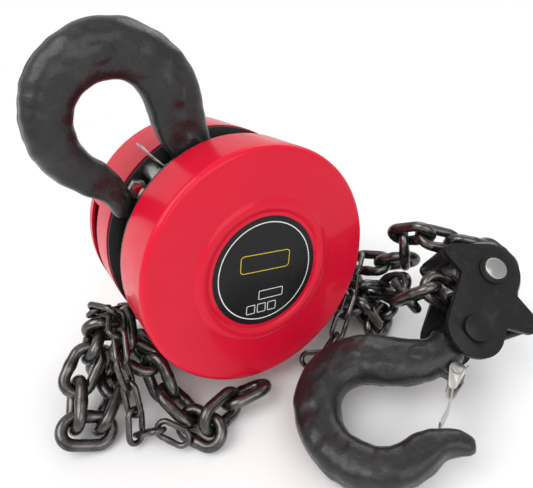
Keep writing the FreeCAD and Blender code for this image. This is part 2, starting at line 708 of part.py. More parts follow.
def capsule(first, first_radius, second, second_radius, normal):
    """A flat face round two circles and the straight tangents between them."""
    run = second - first
    length = run.Length
    along = V(run).normalize()
    across = normal.cross(along)
    lean = math.asin((first_radius - second_radius) / length)
    edges = []
    ends = []
    for centre, radius, way in ((first, first_radius, -1), (second, second_radius, 1)):
        upper = centre + along * (radius * math.sin(lean)) + across * (radius * math.cos(lean))
        lower = centre + along * (radius * math.sin(lean)) - across * (radius * math.cos(lean))
        edges.append(Part.Arc(upper, centre + along * (way * radius), lower).toShape())
        ends.append((upper, lower))
    edges.append(Part.LineSegment(ends[0][0], ends[1][0]).toShape())
    edges.append(Part.LineSegment(ends[0][1], ends[1][1]).toShape())
    return Part.Face(Part.Wire(Part.__sortEdges__(edges)))


def leaf_spring(pivot, nose, x1):
    """A strip held by a stud beside the pawl's pin that bears on the back of the pawl."""
    outward = V(pivot).normalize()
    along = V(nose - pivot).normalize()
    strip = V(x1 - pawl_thick * 0.8, 0, 0)
    side = X.cross(along)
    side = side if side.dot(outward) > 0 else side * -1
    lift_off = pawl_boss + 2 * spring_wire
    start = pivot - along * (pawl_boss / 2) + side * lift_off + strip
    middle = pivot + along * pawl_boss + side * (lift_off - spring_wire / 2) + strip
    end = pivot + along * (pawl_boss * 3) + side * (pawl_boss * 0.68) + strip
    spine = Part.Wire([Part.Arc(start, middle, end).toShape()])
    heading = (middle - start).normalize()
    half = spring_wire / 2
    lift = X.cross(heading) * half
    width = V(pawl_thick * 0.6, 0, 0)
    corners = [start + lift, start - lift, start - lift + width, start + lift + width]
    profile = Part.Wire(Part.makePolygon(corners + corners[:1]))
    strip_shape = spine.makePipeShell([profile], True, True)
    seat = start + side * (pawl_pin_radius / 2)
    stud = cylinder(pawl_pin_radius / 2, start.x, -frame_outer, seat.y, seat.z)
    return strip_shape.fuse(stud)


def superellipse(centre, heading, width, thick):
    """A closed smooth section of a forging, square to its heading in the XY plane."""
    across = V(-math.sin(heading), math.cos(heading), 0)
    points = []
    for step in range(12):
        angle = 2 * math.pi * step / 12
        cosine, sine = math.cos(angle), math.sin(angle)
        wide = math.copysign(abs(cosine) ** (2 / hook_corner_power), cosine) * width / 2
        high = math.copysign(abs(sine) ** (2 / hook_corner_power), sine) * thick / 2
        points.append(centre + across * wide + Z * high)
    curve = Part.BSplineCurve()
    curve.interpolate(Points=points, PeriodicFlag=True)
    return Part.Wire(curve.toShape())


def hook_shape():
    """The forging: a round collar that flows into the bowl and tip, its shank and the latch's lug."""
    sections = []
    for along, side, heading, width, thick in hook_station_shares:
        centre = V(along * hook_reach, side * hook_reach, 0)
        sections.append(superellipse(centre, math.radians(heading), width * hook_reach, thick * hook_reach))
    forging = Part.makeLoft(sections, True, False)
    shank = Part.makeCylinder(hook_shank, hook_start + overrun + hook_nut_height * 2,
                              V(-hook_nut_height * 2, 0, 0), X)
    half = latch_boss_thick / 2
    lug = Part.makeCylinder(latch_boss_radius, latch_boss_thick,
                            V(latch_pivot_along, latch_pivot_side, -half), Z)
    root = V(latch_pivot_along, 0, -half)
    foot = capsule(V(latch_pivot_along, latch_pivot_side, -half), latch_boss_radius, root,
                   latch_boss_radius * 1.6, Z).extrude(V(0, 0, latch_boss_thick))
    whole = fused([forging, shank, lug, foot])
    hole = Part.makeCylinder(latch_pin_radius + running, cover_radius,
                             V(latch_pivot_along, latch_pivot_side, -cover_radius / 2), Z)
    return whole.cut(hole)


def latch_shape():
    """A sheet latch about its pivot: two cheeks beside the lug and a bowed tongue towards the tip."""
    inner = latch_inside / 2
    outer = inner + latch_plate
    start = V(latch_boss_radius + 2 * latch_plate, 0, 0)
    cheeks = []
    for low in (-outer, inner):
        cheek = capsule(V(0, 0, low), latch_boss_radius, V(start.x * 1.6, 0, low), latch_boss_radius * 0.55, Z)
        cheeks.append(cheek.extrude(V(0, 0, latch_plate)))
    bow = latch_plate * 1.5
    middle = V((start.x + latch_length) / 2, bow, 0)
    end = V(latch_length, 0, 0)
    top = Part.Arc(start, middle, end).toShape()
    drop = V(0, -latch_plate, 0)
    bottom = Part.Arc(start + drop, middle + drop, end + drop).toShape()
    sides = [Part.LineSegment(start, start + drop).toShape(), Part.LineSegment(end, end + drop).toShape()]
    side_face = Part.Face(Part.Wire(Part.__sortEdges__([top, bottom] + sides)))
    side_face.translate(V(0, 0, -outer))
    tongue = side_face.extrude(V(0, 0, 2 * outer))
    tip = latch_tip_width / 2
    outline = [V(0, 0, -outer), V(start.x * 1.6, 0, -outer), V(latch_length, 0, -tip),
               V(latch_length, 0, tip), V(start.x * 1.6, 0, outer), V(0, 0, outer)]
    for point in outline:
        point.y = -cover_radius
    tongue = tongue.common(prism(outline, V(0, 2 * cover_radius, 0)))
    latch = fused(cheeks + [tongue])
    return latch.cut(Part.makeCylinder(latch_pin_radius + running, cover_radius, V(0, 0, -cover_radius / 2), Z))


def latch_spring_shape(closing):
    """A wire spring round the latch pin: one leg under the tongue, one leg against the neck."""
    level = (latch_boss_thick + latch_inside) / 4
    radius = latch_pin_radius + spring_wire
    leg = latch_length * 0.45
    away = math.radians(180 - closing)
    start = V(leg, -radius, level)
    eye = V(0, -radius, level)
    back = V(radius * math.sin(away), -radius * math.cos(away), level)
    out = back + V(-math.cos(away), -math.sin(away), 0) * (-latch_boss_radius * 1.6)
    edges = [Part.LineSegment(start, eye).toShape(), Part.Arc(eye, V(-radius, 0, level), back).toShape(),
             Part.LineSegment(back, out).toShape()]
    spine = Part.Wire(edges)
    profile = Part.Wire(Part.makeCircle(spring_wire / 2, start, X))
    return spine.makePipeShell([profile], True, False)


def build_hook(name, at, latch_angle):
    """One hook with its shank nut, latch, latch pin and spring, laid by its own placement."""
    keep(name + "_hook", hook_shape(), at)
    start = -hook_bore_depth - clear
    nut_ring = Part.makeCylinder(hook_nut_radius, hook_nut_height, V(start - hook_nut_height, 0, 0), X)
    nut_bore = Part.makeCylinder(hook_shank, cover_radius, V(-cover_radius, 0, 0), X)
    keep(name + "_hook_nut", nut_ring.cut(nut_bore), at)
    pivot = V(latch_pivot_along, latch_pivot_side, 0)
    at_latch = at.multiply(FreeCAD.Placement(pivot, FreeCAD.Rotation(Z, latch_angle)))
    keep(name + "_hook_latch", latch_shape(), at_latch)
    half = latch_inside / 2 + latch_plate + clear / 3
    pin = Part.makeCylinder(latch_pin_radius, 2 * half, V(0, 0, -half), Z)
    for end in (-half - latch_plate, half):
        pin = pin.fuse(Part.makeCylinder(latch_pin_radius * 1.7, latch_plate, V(0, 0, end), Z))
    keep(name + "_latch_pin", pin.removeSplitter(), at_latch)
    keep(name + "_latch_spring", latch_spring_shape(latch_angle), at_latch)


def yoke(radius, journal, half_gap, reach):
    """A cross piece: a round body between the plates, two journals, and the bored seat of a hook's shank."""
    body = Part.makeCylinder(radius, 2 * half_gap, V(0, 0, -half_gap), Z)
    pins = Part.makeCylinder(journal, 2 * reach, V(0, 0, -reach), Z)
    whole = fused([body, pins])
    bore = Part.makeCylinder(hook_shank + running, cover_radius, V(-cover_radius / 2, 0, 0), X)
    seat = Part.makeCylinder(hook_nut_radius + side_play, cover_radius,
                             V(-hook_bore_depth - cover_radius, 0, 0), X)
    flat = Part.makeCylinder(cover_radius, cover_radius, V(hook_start - clear, 0, 0), X)
    return whole.cut(bore).cut(seat).cut(flat)


def build_beam():
    """The head's swinging beam, the guide rollers, the stripper and the pins they sit on."""
    reach = frame_outer + overrun
    beam_at = head.multiply(FreeCAD.Placement(V(0, 0, beam_height), FreeCAD.Rotation(X, top_hook_swing)))
    beam_at = beam_at.multiply(axes_placement(O, Z, -Y))
    keep("top_hook_beam", yoke(beam_radius, beam_journal, frame_inner - side_play, reach), beam_at)
    for name, side in (("left", -1), ("right", 1)):
        y = side * guide_side
        roller = ring(guide_roller_radius, guide_roller_pin + running, -frame_inner + side_play,
                      frame_inner - side_play, y, -guide_roller_drop)
        waist = Part.makeTorus(guide_roller_radius + chain_wire, chain_wire * 1.2,
                               V(0, y, -guide_roller_drop), X)
        keep(name + "_guide_roller", roller.cut(waist), head)
    pins = [cylinder(guide_roller_pin, -frame_outer, frame_outer, side * guide_side, -guide_roller_drop)
            for side in (-1, 1)]
    keep("guide_roller_pins", group(pins), head)

    half = stripper_thick / 2
    top = -sheave_core - 2 * clear
    outline = [V(-half, -half, top), V(-half, -stripper_width / 2, -stripper_drop * 0.75),
               V(-half, -stripper_width / 2, -stripper_drop), V(-half, stripper_width / 2, -stripper_drop),
               V(-half, stripper_width / 2, -stripper_drop * 0.75), V(-half, half, top)]
    finger = prism(outline, V(stripper_thick, 0, 0))
    level = -stripper_drop + stripper_pin * 2
    stripper_pins = []
    for side in (-1, 1):
        y = side * stripper_width / 4
        finger = finger.cut(cylinder(stripper_pin, -half - overrun, half + overrun, y, level))
        stripper_pins.append(cylinder(stripper_pin, -frame_outer, frame_outer, y, level))
    hub = Part.makeCylinder(sheave_core + 2 * clear, stripper_thick + 2 * overrun, V(-half - overrun, 0, 0), X)
    keep("chain_stripper", finger.cut(hub), head)
    keep("stripper_pins", group(stripper_pins), head)
    anchor = cylinder(anchor_pin_radius, -frame_outer, frame_outer, anchor_pin_side, -anchor_pin_drop)
    keep("chain_anchor_pin", anchor, head)


def build_block():
    """The lower block: plates with lobes and ears, bars, sheave on its axle, and the hook's yoke."""
    inner = block_gap / 2
    outer = inner + block_plate_thick
    lower = V(0, 0, 0)
    upper = V(axle_distance, 0, 0)
    left = V(left_bar[0], left_bar[1], 0)
    right = V(right_bar[0], right_bar[1], 0)
    spine = capsule(lower, lower_lobe, upper, upper_lobe, Z)
    waist = V(axle_distance * 0.55, 0, 0)
    ears = [capsule(left, ear_radius * 0.8, upper, upper_lobe, Z),
            capsule(right, right_ear_radius, waist, lower_lobe, Z),
            capsule(right + V(right_ear_radius, 0, 0), right_ear_radius * 0.5, waist, lower_lobe, Z)]
    holes = [(trunnion_radius + running, lower), (axle_radius, upper), (bar_radius * bar_end_share, left),
             (right_bar_radius * bar_end_share, right)]
    for name, z0 in (("front", inner), ("rear", -outer)):
        plate = fused([face.extrude(V(0, 0, block_plate_thick)) for face in [spine] + ears])
        plate.translate(V(0, 0, z0))
        for radius, place in holes:
            plate = plate.cut(Part.makeCylinder(radius, 2 * cover_radius, place - Z * cover_radius, Z))
        keep("lower_" + name + "_plate", plate.removeSplitter(), block)
    bars = []
    for place, radius in ((left, bar_radius), (right, right_bar_radius)):
        bar = Part.makeCylinder(radius, block_gap, place - Z * inner, Z)
        ends = Part.makeCylinder(radius * bar_end_share, 2 * outer, place - Z * outer, Z)
        bars.append(fused([bar, ends]))
    keep("lower_block_bars", group(bars), block)

    half = inner - side_play
    edge = block_sheave_rim
    axle_bore = axle_radius + running
    groove = block_sheave_groove
    edges = [Part.LineSegment(V(axle_bore, 0, -half), V(edge, 0, -half)).toShape(),
             Part.LineSegment(V(edge, 0, -half), V(edge, 0, -groove)).toShape(),
             Part.Arc(V(edge, 0, -groove), V(block_sheave_root, 0, 0), V(edge, 0, groove)).toShape(),
             Part.LineSegment(V(edge, 0, groove), V(edge, 0, half)).toShape(),
             Part.LineSegment(V(edge, 0, half), V(axle_bore, 0, half)).toShape(),
             Part.LineSegment(V(axle_bore, 0, half), V(axle_bore, 0, -half)).toShape()]
    sheave = Part.Face(Part.Wire(edges)).revolve(O, Z, 360)
    sheave.translate(upper)
    keep("lower_sheave", sheave, block)
    reach = outer + axle_stand
    keep("lower_sheave_axle", Part.makeCylinder(axle_radius, 2 * reach, upper - Z * reach, Z), block)
    washers = []
    for z0 in (outer, -outer - axle_washer_thick):
        ring_shape = Part.makeCylinder(axle_washer, axle_washer_thick, upper + Z * z0, Z)
        washers.append(ring_shape.cut(Part.makeCylinder(axle_radius, 2 * cover_radius, upper - Z * cover_radius, Z)))
    keep("lower_axle_washers", group(washers), block)
    turned = FreeCAD.Placement(O, FreeCAD.Rotation(Z, 180 - lower_hook_swing))
    keep("lower_hook_yoke", yoke(yoke_radius, trunnion_radius, half, outer + trunnion_stand),
         block.multiply(turned))


# Chain: every link is laid in turn, bent and twisted about the one before it.
def link_sizes(kind):
    """Half the wire, the radius of the end bends and the half length of the straights."""
    wire, pitch, inside = kind
    bend = (inside + wire) / 2
    return wire / 2, bend, (pitch + wire) / 2 - bend


def link_points(laid_link, kind):
    """Points along the middle of a link's wire."""
    centre, along, normal = laid_link
    bend, reach = link_sizes(kind)[1:]
    across = normal.cross(along)
    points = []
    for side in (1, -1):
        for step in range(bend_points):
            angle = math.pi * (step / (bend_points - 1) - 0.5)
            offset = along * (reach + bend * math.cos(angle)) + across * (bend * math.sin(angle))
            points.append(centre + offset * side)
        for share in straight_shares:
            points.append(centre + across * (bend * side) + along * (reach * share))
    return points


def link_distance(point, laid_link, kind):
    """How far a point is from the surface of a link's wire."""
    centre, along, normal = laid_link
    half_wire, bend, reach = link_sizes(kind)
    offset = point - centre
    past = max(abs(offset.dot(along)) - reach, 0)
    ring_offset = math.hypot(past, offset.dot(normal.cross(along))) - bend
    return math.hypot(ring_offset, offset.dot(normal)) - half_wire


def slab_distance(outline, level):
    """The distance to a flat plate from the distances to its outline and to its faces."""
    if outline > 0 or level > 0:
        return math.hypot(max(outline, 0), max(level, 0))
    return max(outline, level)


def drums_distance(local, drums):
    """The distance to the nearest of several round drums along the head's axis."""
    return min(slab_distance(math.hypot(local.y - y, local.z - z) - radius, max(low - local.x, local.x - high))
               for low, high, y, z, radius in drums)


def inner_drums():
    """The stays, rollers and wheel rims that a fall of chain passes."""
    drums = [(-frame_inner, frame_inner, *polar(stay_pitch_radius, angle), stay_radius) for angle in stay_angles]
    drums += [(-frame_inner, frame_inner, side * guide_side, -guide_roller_drop, guide_roller_radius)
              for side in (-1, 1)]
    wheels = ((0.0, frame_inner, chain_wire, sheave_rim),
              (slot_middle, hand_wheel_width / 2, hand_wire, hand_wheel_rim))
    for middle, half, wire, rim in wheels:
        groove = (wire + 3 * side_play) / 2
        drums += [(middle - half, middle - groove, 0, 0, rim), (middle + groove, middle + half, 0, 0, rim)]
    return drums


def head_distance(point):
    """The distance to the closed outside of the head and to what stands between its plates."""
    covers = [(frame_inner, front_face, 0, 0, cover_radius), (rear_face, -frame_inner, 0, 0, cover_radius)]
    return drums_distance(head_back.multVec(point), covers + fall_drums)


def slotted_head_distance(point):
    """The same distance for the hand chain, which leaves the head through the slot of the rear cover."""
    local = head_back.multVec(point)
    if abs(local.x - slot_middle) < chain_slot_width / 2:
        return drums_distance(local, fall_drums)
    return head_distance(point)


def strip_distance(x, y, run_x, run_y):
    """The distance in the plane to the straight line from the origin to a point."""
    share = min(max((x * run_x + y * run_y) / (run_x ** 2 + run_y ** 2), 0), 1)
    return math.hypot(x - share * run_x, y - share * run_y)


def block_distance(point):
    """The distance to the lower block's two plates and the bars between them."""
    local = block_back.multVec(point)
    outline = strip_distance(local.x, local.y, axle_distance, 0) - upper_lobe
    for bar, radius in ((left_bar, ear_radius), (right_bar, right_ear_radius)):
        outline = min(outline, strip_distance(local.x - bar[0], local.y, 0, bar[1]) - radius)
    half_gap = block_gap / 2
    level = max(half_gap - abs(local.z), abs(local.z) - half_gap - block_plate_thick)
    plates = slab_distance(outline, level)
    if abs(local.z) > half_gap:
        return plates
    bars = [math.hypot(local.x - bar[0], local.y - bar[1]) - radius
            for bar, radius in ((left_bar, bar_radius), (right_bar, right_bar_radius))]
    return min([plates, math.hypot(local.x, local.y) - yoke_room] + bars)


def hook_distance(point):
    """The distance to the lower hook, read as balls along its middle line."""
    return min((centre - point).Length - radius for centre, radius in hook_balls)


def lower_hook_balls():
    """Balls that fill the lower hook between the stations of its outline."""
    balls = []
    rows = hook_station_shares
    for first, second in zip(rows, rows[1:]):
        for step in range(ball_steps):
            share = step / ball_steps
            along, side, width = [first[i] + (second[i] - first[i]) * share for i in (0, 1, 3)]
            centre = lower_hook_at.multVec(V(along * hook_reach, side * hook_reach, 0))
            balls.append((centre, width * hook_reach / 2))
    return balls


def free_room(laid_link, kind, neighbours, obstacles):
    """The least room that a link has above the floor, to other links and to the obstacles."""
    half_wire = kind[0] / 2
    points = link_points(laid_link, kind)
    least = min(point.z for point in points) - half_wire
    size = kind[1] + 2 * kind[0]
    for other, other_kind in neighbours:
        if (other[0] - laid_link[0]).Length < (size + other_kind[1]) / 2 + other_kind[0] + link_room:
            distance = min(link_distance(point, other, other_kind) for point in points)
            least = min(least, distance - half_wire - link_room)
    for obstacle in obstacles:
        least = min(least, min(obstacle(point) for point in points) - half_wire - running)
    return least


def smooth(route):
    """The route with its corners cut."""
    for _ in range(corner_cuts):
        points = [route[0]]
        for first, second in zip(route, route[1:]):
            points += [first * 0.75 + second * 0.25, first * 0.25 + second * 0.75]
        route = points + [route[-1]]
    return route


def stepped(route):
    """Points along the route a small step apart."""
    points = []
    for first, second in zip(route, route[1:]):
        count = max(1, round((second - first).Length / route_step))
        points += [first + (second - first) * (step / count) for step in range(count)]
    return points


def bent_ways(aim, normal, gap, up, square):
    """The ways in which the next link can bend and twist towards its aim, the straightest first.

    The links lean halfway on the floor, and by turns lie flat and stand upright on a sheave.
    """
    heading = V(aim).normalize()
    side_one = heading.cross(Z if abs(heading.z) < 0.9 else X).normalize()
    side_two = heading.cross(side_one)
    ways = []
    for steer in steer_angles:
        lean = math.radians(steer)
        for side in range(steer_sides if steer else 1):
            turn = 2 * math.pi * side / steer_sides
            sideways = side_one * math.cos(turn) + side_two * math.sin(turn)
            goal = (heading * math.cos(lean) + sideways * math.sin(lean)) * aim.Length
            along = V(goal).normalize()
            for _ in range(aim_rounds):
                hinge = (along - normal * along.dot(normal)).normalize()
                along = (goal - hinge * gap).normalize()
            hinge = (along - normal * along.dot(normal)).normalize()
            face = along.cross(normal).normalize()
            for twist in twist_angles:
                turned = FreeCAD.Rotation(hinge, twist)
                next_along, next_normal = turned.multVec(along), turned.multVec(face)
                flat = math.sqrt(max(1 - next_along.dot(up) ** 2, 1e-9))
                tilt = math.degrees(math.asin(min(1, abs(next_normal.dot(up)) / flat)))
                away = 45 - abs(tilt - 45) if square else abs(tilt - 45)
                cost = steer + tilt_weight * away + twist_weight * (abs(twist) + side)
                ways.append((cost, next_along, next_normal, hinge))
    ways.sort(key=lambda way: way[0])
    return ways


def lay_chain(first, route, kind, laid, obstacles, up=Z, square=False):
    """Links from the first one along a route, each steered clear of what lies there already."""
    half_wire, bend, reach = link_sizes(kind)
    gap = 2 * bend - 2 * half_wire - link_play
    points = stepped(smooth(route))
    links = [first]
    here = 0
    while True:
        centre, along, normal = links[-1]
        start = centre + along * reach
        while here < len(points) - 1 and (points[here] - start).Length < aim_share * (gap + 2 * reach):
            here += 1
        if here == len(points) - 1:
            return links
        neighbours = [item for item in laid if (item[0][0] - centre).Length > half_wire]
        best = None
        for _, next_along, next_normal, hinge in bent_ways(points[here] - start, normal, gap, up, square):
            trial = (start + hinge * gap + next_along * reach, next_along, next_normal)
            bite = min(link_distance(point, links[-1], kind) for point in link_points(trial, kind)) - half_wire
            room = min(bite - running, 0)
            if best is None or room > best[0]:
                room = min(room, free_room(trial, kind, neighbours, obstacles))
            if best is None or room > best[0]:
                best = (room, trial)
            if room == 0:
                break
        if best[0] < 0:
            print("tight", len(links), [round(value) for value in best[1][0]], round(best[0], 2))
        links.append(best[1])
        laid.append((best[1], kind))


def keep_chain(name, links, kind):
    """Store laid links as one node."""
    shape = link(*kind)
    nodes[name] = group([placed(shape, axes_placement(centre, along, normal.cross(along)))
                         for centre, along, normal in links])


def wheel_links(pockets, circle, kind, x):
    """Links over the upper half of a wheel of the head, every second one flat on its rim."""
    upright = upright_circle(circle, 2 * pockets, kind[0], kind[1])
    links = []
    for step in range(pockets + 1):
        angle = math.pi * (1 - step / pockets)
        radial = V(0, math.cos(angle), math.sin(angle))
        radius, normal = (upright, X) if step % 2 else (circle, radial)
        links.append((head.multVec(V(x, 0, 0) + radial * radius),
                      head.Rotation.multVec(X.cross(radial)), head.Rotation.multVec(normal)))
    return links


def block_links():
    """Links round the far half of the lower block's sheave, every second one flat in its groove."""
    turn = 2 * math.pi / block_sheave_links
    upright = upright_circle(block_link_circle, block_sheave_links, chain_wire, chain_pitch)
    links = []
    for step in range((block_sheave_links + 1) // 2):
        angle = math.radians(block_wrap_start) + step * turn
        radial = V(-math.cos(angle), -math.sin(angle), 0)
        radius, normal = (upright, Z) if step % 2 else (block_link_circle, radial)
        links.append((block.multVec(V(axle_distance, 0, 0) + radial * radius),
                      block.Rotation.multVec(Z.cross(radial)), block.Rotation.multVec(normal)))
    return links


def world_route(shares):
    """A route given in shares of the cover's radius."""
    return [V(*share) * cover_radius for share in shares]


def head_route(shares, x=0.0):
    """A route down from the head, given in shares of the cover's radius in the head's own frame."""
    return [head.multVec(V(x, y * cover_radius, z * cover_radius)) for y, z in shares]


def build_chain():
    """The load chain and the hand chain over their wheels, round the block's sheave and on the floor."""
    laid = []
    around = (head_distance, block_distance, hook_distance)
    over_sheave = wheel_links(sheave_pockets, load_link_circle, load_chain, 0.0)
    over_wheel = wheel_links(hand_wheel_pockets, hand_link_circle, hand_chain, slot_middle)
    laid += [(item, load_chain) for item in over_sheave] + [(item, hand_chain) for item in over_wheel]
    keep_chain("load_chain_on_sheave", over_sheave, load_chain)
    keep_chain("hand_chain_on_wheel", over_wheel, hand_chain)
    down = head.Rotation.multVec(-Z)

    def fall(item):
        """The end link of a wheel, facing down."""
        return item[0], down, item[2]

    left = lay_chain(fall(over_sheave[0]), head_route(left_fall_shares) + world_route(left_pile_shares),
                     load_chain, laid, around)
    keep_chain("load_chain_left", left[1:], load_chain)

    round_block = block_links()
    laid += [(item, load_chain) for item in round_block]
    low = axle_distance - block_link_circle
    entry = [block.multVec(V(low, chain_pitch * share, 0)) for share in block_entry_shares]
    back = world_route(right_pile_shares)[::-1] + head_route(right_fall_shares)[::-1]
    centre, along, normal = round_block[0]
    right = lay_chain((centre, along * -1, normal), entry + back, load_chain, laid, around)
    leave = [block.multVec(V(x, y, z) * axle_distance) for x, y, z in block_exit_shares]
    away = lay_chain(round_block[-1], leave + world_route(block_pile_shares), load_chain, laid, around,
                     block.Rotation.multVec(Z), True)
    keep_chain("load_chain_right", right[:0:-1] + round_block + away[1:], load_chain)

    lean = math.radians(anchor_lean)
    anchor_along = head.Rotation.multVec(V(0, math.sin(lean), -math.cos(lean)))
    anchor_reach = link_sizes(load_chain)[2] + side_play
    anchor = head.multVec(V(0, anchor_pin_side, -anchor_pin_drop)) + anchor_along * anchor_reach
    first = (anchor, anchor_along, head.Rotation.multVec(X))
    laid.append((first, load_chain))
    end = lay_chain(first, head_route(anchor_fall_shares) + world_route(anchor_pile_shares), load_chain,
                    laid, around)
    keep_chain("load_chain_end", end, load_chain)

    around = (slotted_head_distance, block_distance, hook_distance)
    for name, item, fall_shares, pile_shares in (
            ("right", over_wheel[-1], hand_right_fall_shares, hand_right_pile_shares),
            ("left", over_wheel[0], hand_left_fall_shares, hand_left_pile_shares)):
        route = head_route(fall_shares, slot_middle) + world_route(pile_shares)
        links = lay_chain(fall(item), route, hand_chain, laid, around)
        keep_chain("hand_chain_" + name, links[1:], hand_chain)


def export():
    """Set the bottom centre at the origin and write one file per node."""
    box = FreeCAD.BoundBox()
    for shape in nodes.values():
        box.add(shape.optimalBoundingBox(False, False))
    shift = V(-(box.XMin + box.XMax) / 2, -(box.YMin + box.YMax) / 2, -box.ZMin)
    os.makedirs("parts", exist_ok=True)
    for name, shape in nodes.items():
        shape.translate(shift)
        shape.exportStep("parts/" + name + ".step")
        print(name, len(shape.Solids), round(shape.Volume), shape.isValid())
    print("nodes", len(nodes), "shift", [round(value, 3) for value in shift], "size",
          [round(value, 1) for value in (box.XLength, box.YLength, box.ZLength)])
    return shift


build_frame()
build_load_sheave()
build_gear_train()
build_brake()
build_beam()
build_hook("top", top_hook_at, top_latch_angle)
build_block()
build_hook("lower", lower_hook_at, lower_latch_angle)
hook_balls = lower_hook_balls()
fall_drums = inner_drums()
build_chain()
shift = export()
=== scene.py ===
"""Finishes of a chain hoist on a floor: enamelled covers, forged hooks, black block and oiled chain."""
import json
import math

import bmesh
import bpy
import numpy as np
from bpy.props import FloatProperty, FloatVectorProperty, PointerProperty
from bpy.types import Operator, Panel, PropertyGroup
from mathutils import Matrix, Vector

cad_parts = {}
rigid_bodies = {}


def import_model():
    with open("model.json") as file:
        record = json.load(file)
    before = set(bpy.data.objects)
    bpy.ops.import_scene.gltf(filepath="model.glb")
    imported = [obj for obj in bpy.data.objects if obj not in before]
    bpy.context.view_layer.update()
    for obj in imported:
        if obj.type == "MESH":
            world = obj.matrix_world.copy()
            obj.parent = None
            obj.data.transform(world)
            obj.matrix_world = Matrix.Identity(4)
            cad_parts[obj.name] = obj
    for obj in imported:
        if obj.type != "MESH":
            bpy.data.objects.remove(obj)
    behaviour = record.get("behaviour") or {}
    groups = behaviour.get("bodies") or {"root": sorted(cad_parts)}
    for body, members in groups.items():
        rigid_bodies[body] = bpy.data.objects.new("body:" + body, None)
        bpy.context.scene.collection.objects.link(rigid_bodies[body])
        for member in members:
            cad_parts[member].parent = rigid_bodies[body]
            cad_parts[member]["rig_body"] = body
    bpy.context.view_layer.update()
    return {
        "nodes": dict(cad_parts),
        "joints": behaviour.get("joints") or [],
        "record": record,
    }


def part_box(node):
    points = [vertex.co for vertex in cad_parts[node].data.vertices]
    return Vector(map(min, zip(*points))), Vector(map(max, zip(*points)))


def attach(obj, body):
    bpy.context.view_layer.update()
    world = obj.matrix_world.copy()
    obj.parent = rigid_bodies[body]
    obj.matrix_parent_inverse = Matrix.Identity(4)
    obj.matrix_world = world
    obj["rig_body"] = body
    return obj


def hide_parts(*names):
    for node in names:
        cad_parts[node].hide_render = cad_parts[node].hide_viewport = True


bl_info = {
    "name": "Chain Hoist Finishes",
    "version": (1, 0, 0),
    "blender": (4, 5, 0),
    "location": "3D View > Sidebar > Hoist",
    "description": "Covers, hooks, chains and finishes of a hand chain hoist, with its stage",
    "category": "Object",
}

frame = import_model()
nodes = frame["nodes"]


def box_middle(node):
    """Centre of a node's box at rest, in metres."""
    low, high = (np.array(corner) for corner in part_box(node))
    return (low + high) / 2


# The label's place and up direction, and the camera's place from its middle, in metres.
LABEL_MIDDLE = box_middle("front_label")
CAMERA_FROM_LABEL = np.array((0.00063, -0.30219, 0.23142))
LABEL_UP = (0.067, 0.208, 0.976)
LABEL_PROUD = 0.00046
CORNER_STEPS = 7
RING_RADIUS = 0.0436
RING_HALF_WIDTH = 0.00045

# The label's bare fields: name, ink, place across and up, width, height and corner radius, in metres.
LABEL_FIELDS = (
    ("label_main_field", "yellow", -0.0010, 0.0095, 0.0470, 0.0160, 0.0035),
    ("label_wide_field", "white", 0.0063, -0.0208, 0.0240, 0.0085, 0.0008),
    ("label_left_field", "white", -0.0126, -0.0330, 0.0085, 0.0085, 0.0010),
    ("label_middle_field", "white", -0.0022, -0.0330, 0.0085, 0.0085, 0.0010),
    ("label_right_field", "white", 0.0080, -0.0330, 0.0085, 0.0085, 0.0010),
)

# The forging's bare raised pads: along the shank, to the side, half sizes in metres, turn in degrees, face.
HOOK_PADS = (
    (0.1367, -0.0365, 0.0115, 0.0062, 45, 1),
    (0.0783, -0.0382, 0.0110, 0.0060, -38, 1),
    (0.0464, -0.0077, 0.0075, 0.0055, -25, 1),
)
LATCH_JOINTS = {"top": "top_latch_close", "lower": "lower_latch_open"}
LUMP_WAVES = 14
LUMP_LENGTHS = (0.009, 0.030)
FLASH_WIDTH = 0.0011
FLASH_START = 0.035
FLASH_RISE = 0.02
HOOK_SEEDS = {"top": 3, "lower": 4}

# Stations of a link's end turn and points round its wire, by kind of chain.
LINK_GRIDS = {"load": (15, 18), "hand": (11, 12)}

# How wide the broken edge of each dressed node is, as a share of the panel's value.
BROKEN_EDGES = {
    "front_side_plate": 0.8, "rear_side_plate": 0.8, "gear_plate": 0.8, "frame_stays": 0.6,
    "frame_stay_nuts": 0.6, "cover_studs": 0.6, "cover_nuts": 0.6, "chain_stripper": 0.8,
    "chain_anchor_pin": 0.6,
    "left_guide_roller": 1.0, "right_guide_roller": 1.0, "guide_roller_pins": 0.6, "hand_wheel": 1.0,
    "top_hook_beam": 1.2, "top_hook_nut": 1.0, "top_hook_latch": 0.5, "top_latch_pin": 0.5,
    "lower_front_plate": 1.3, "lower_rear_plate": 1.3, "lower_block_bars": 1.0, "lower_sheave_axle": 1.2,
    "lower_axle_washers": 0.6, "lower_hook_yoke": 1.2, "lower_hook_nut": 1.0, "lower_hook_latch": 0.5,
    "lower_latch_pin": 0.5,
}
MERGE_DISTANCE = 1e-6
FLAT_ANGLE = math.radians(0.5)
EDGE_ANGLE = math.radians(38)

# Lights: name, place and size in metres, power in watts; then how strongly the surroundings light the hoist.
LIGHTS = (
    ("key_light", (-0.9, -0.7, 1.5), 1.3, 17.0),
    ("front_fill", (0.7, -1.2, 1.0), 1.2, 7.0),
    ("back_light", (0.6, 1.2, 1.3), 1.2, 9.0),
)
SURROUNDINGS_LIGHT = 0.62


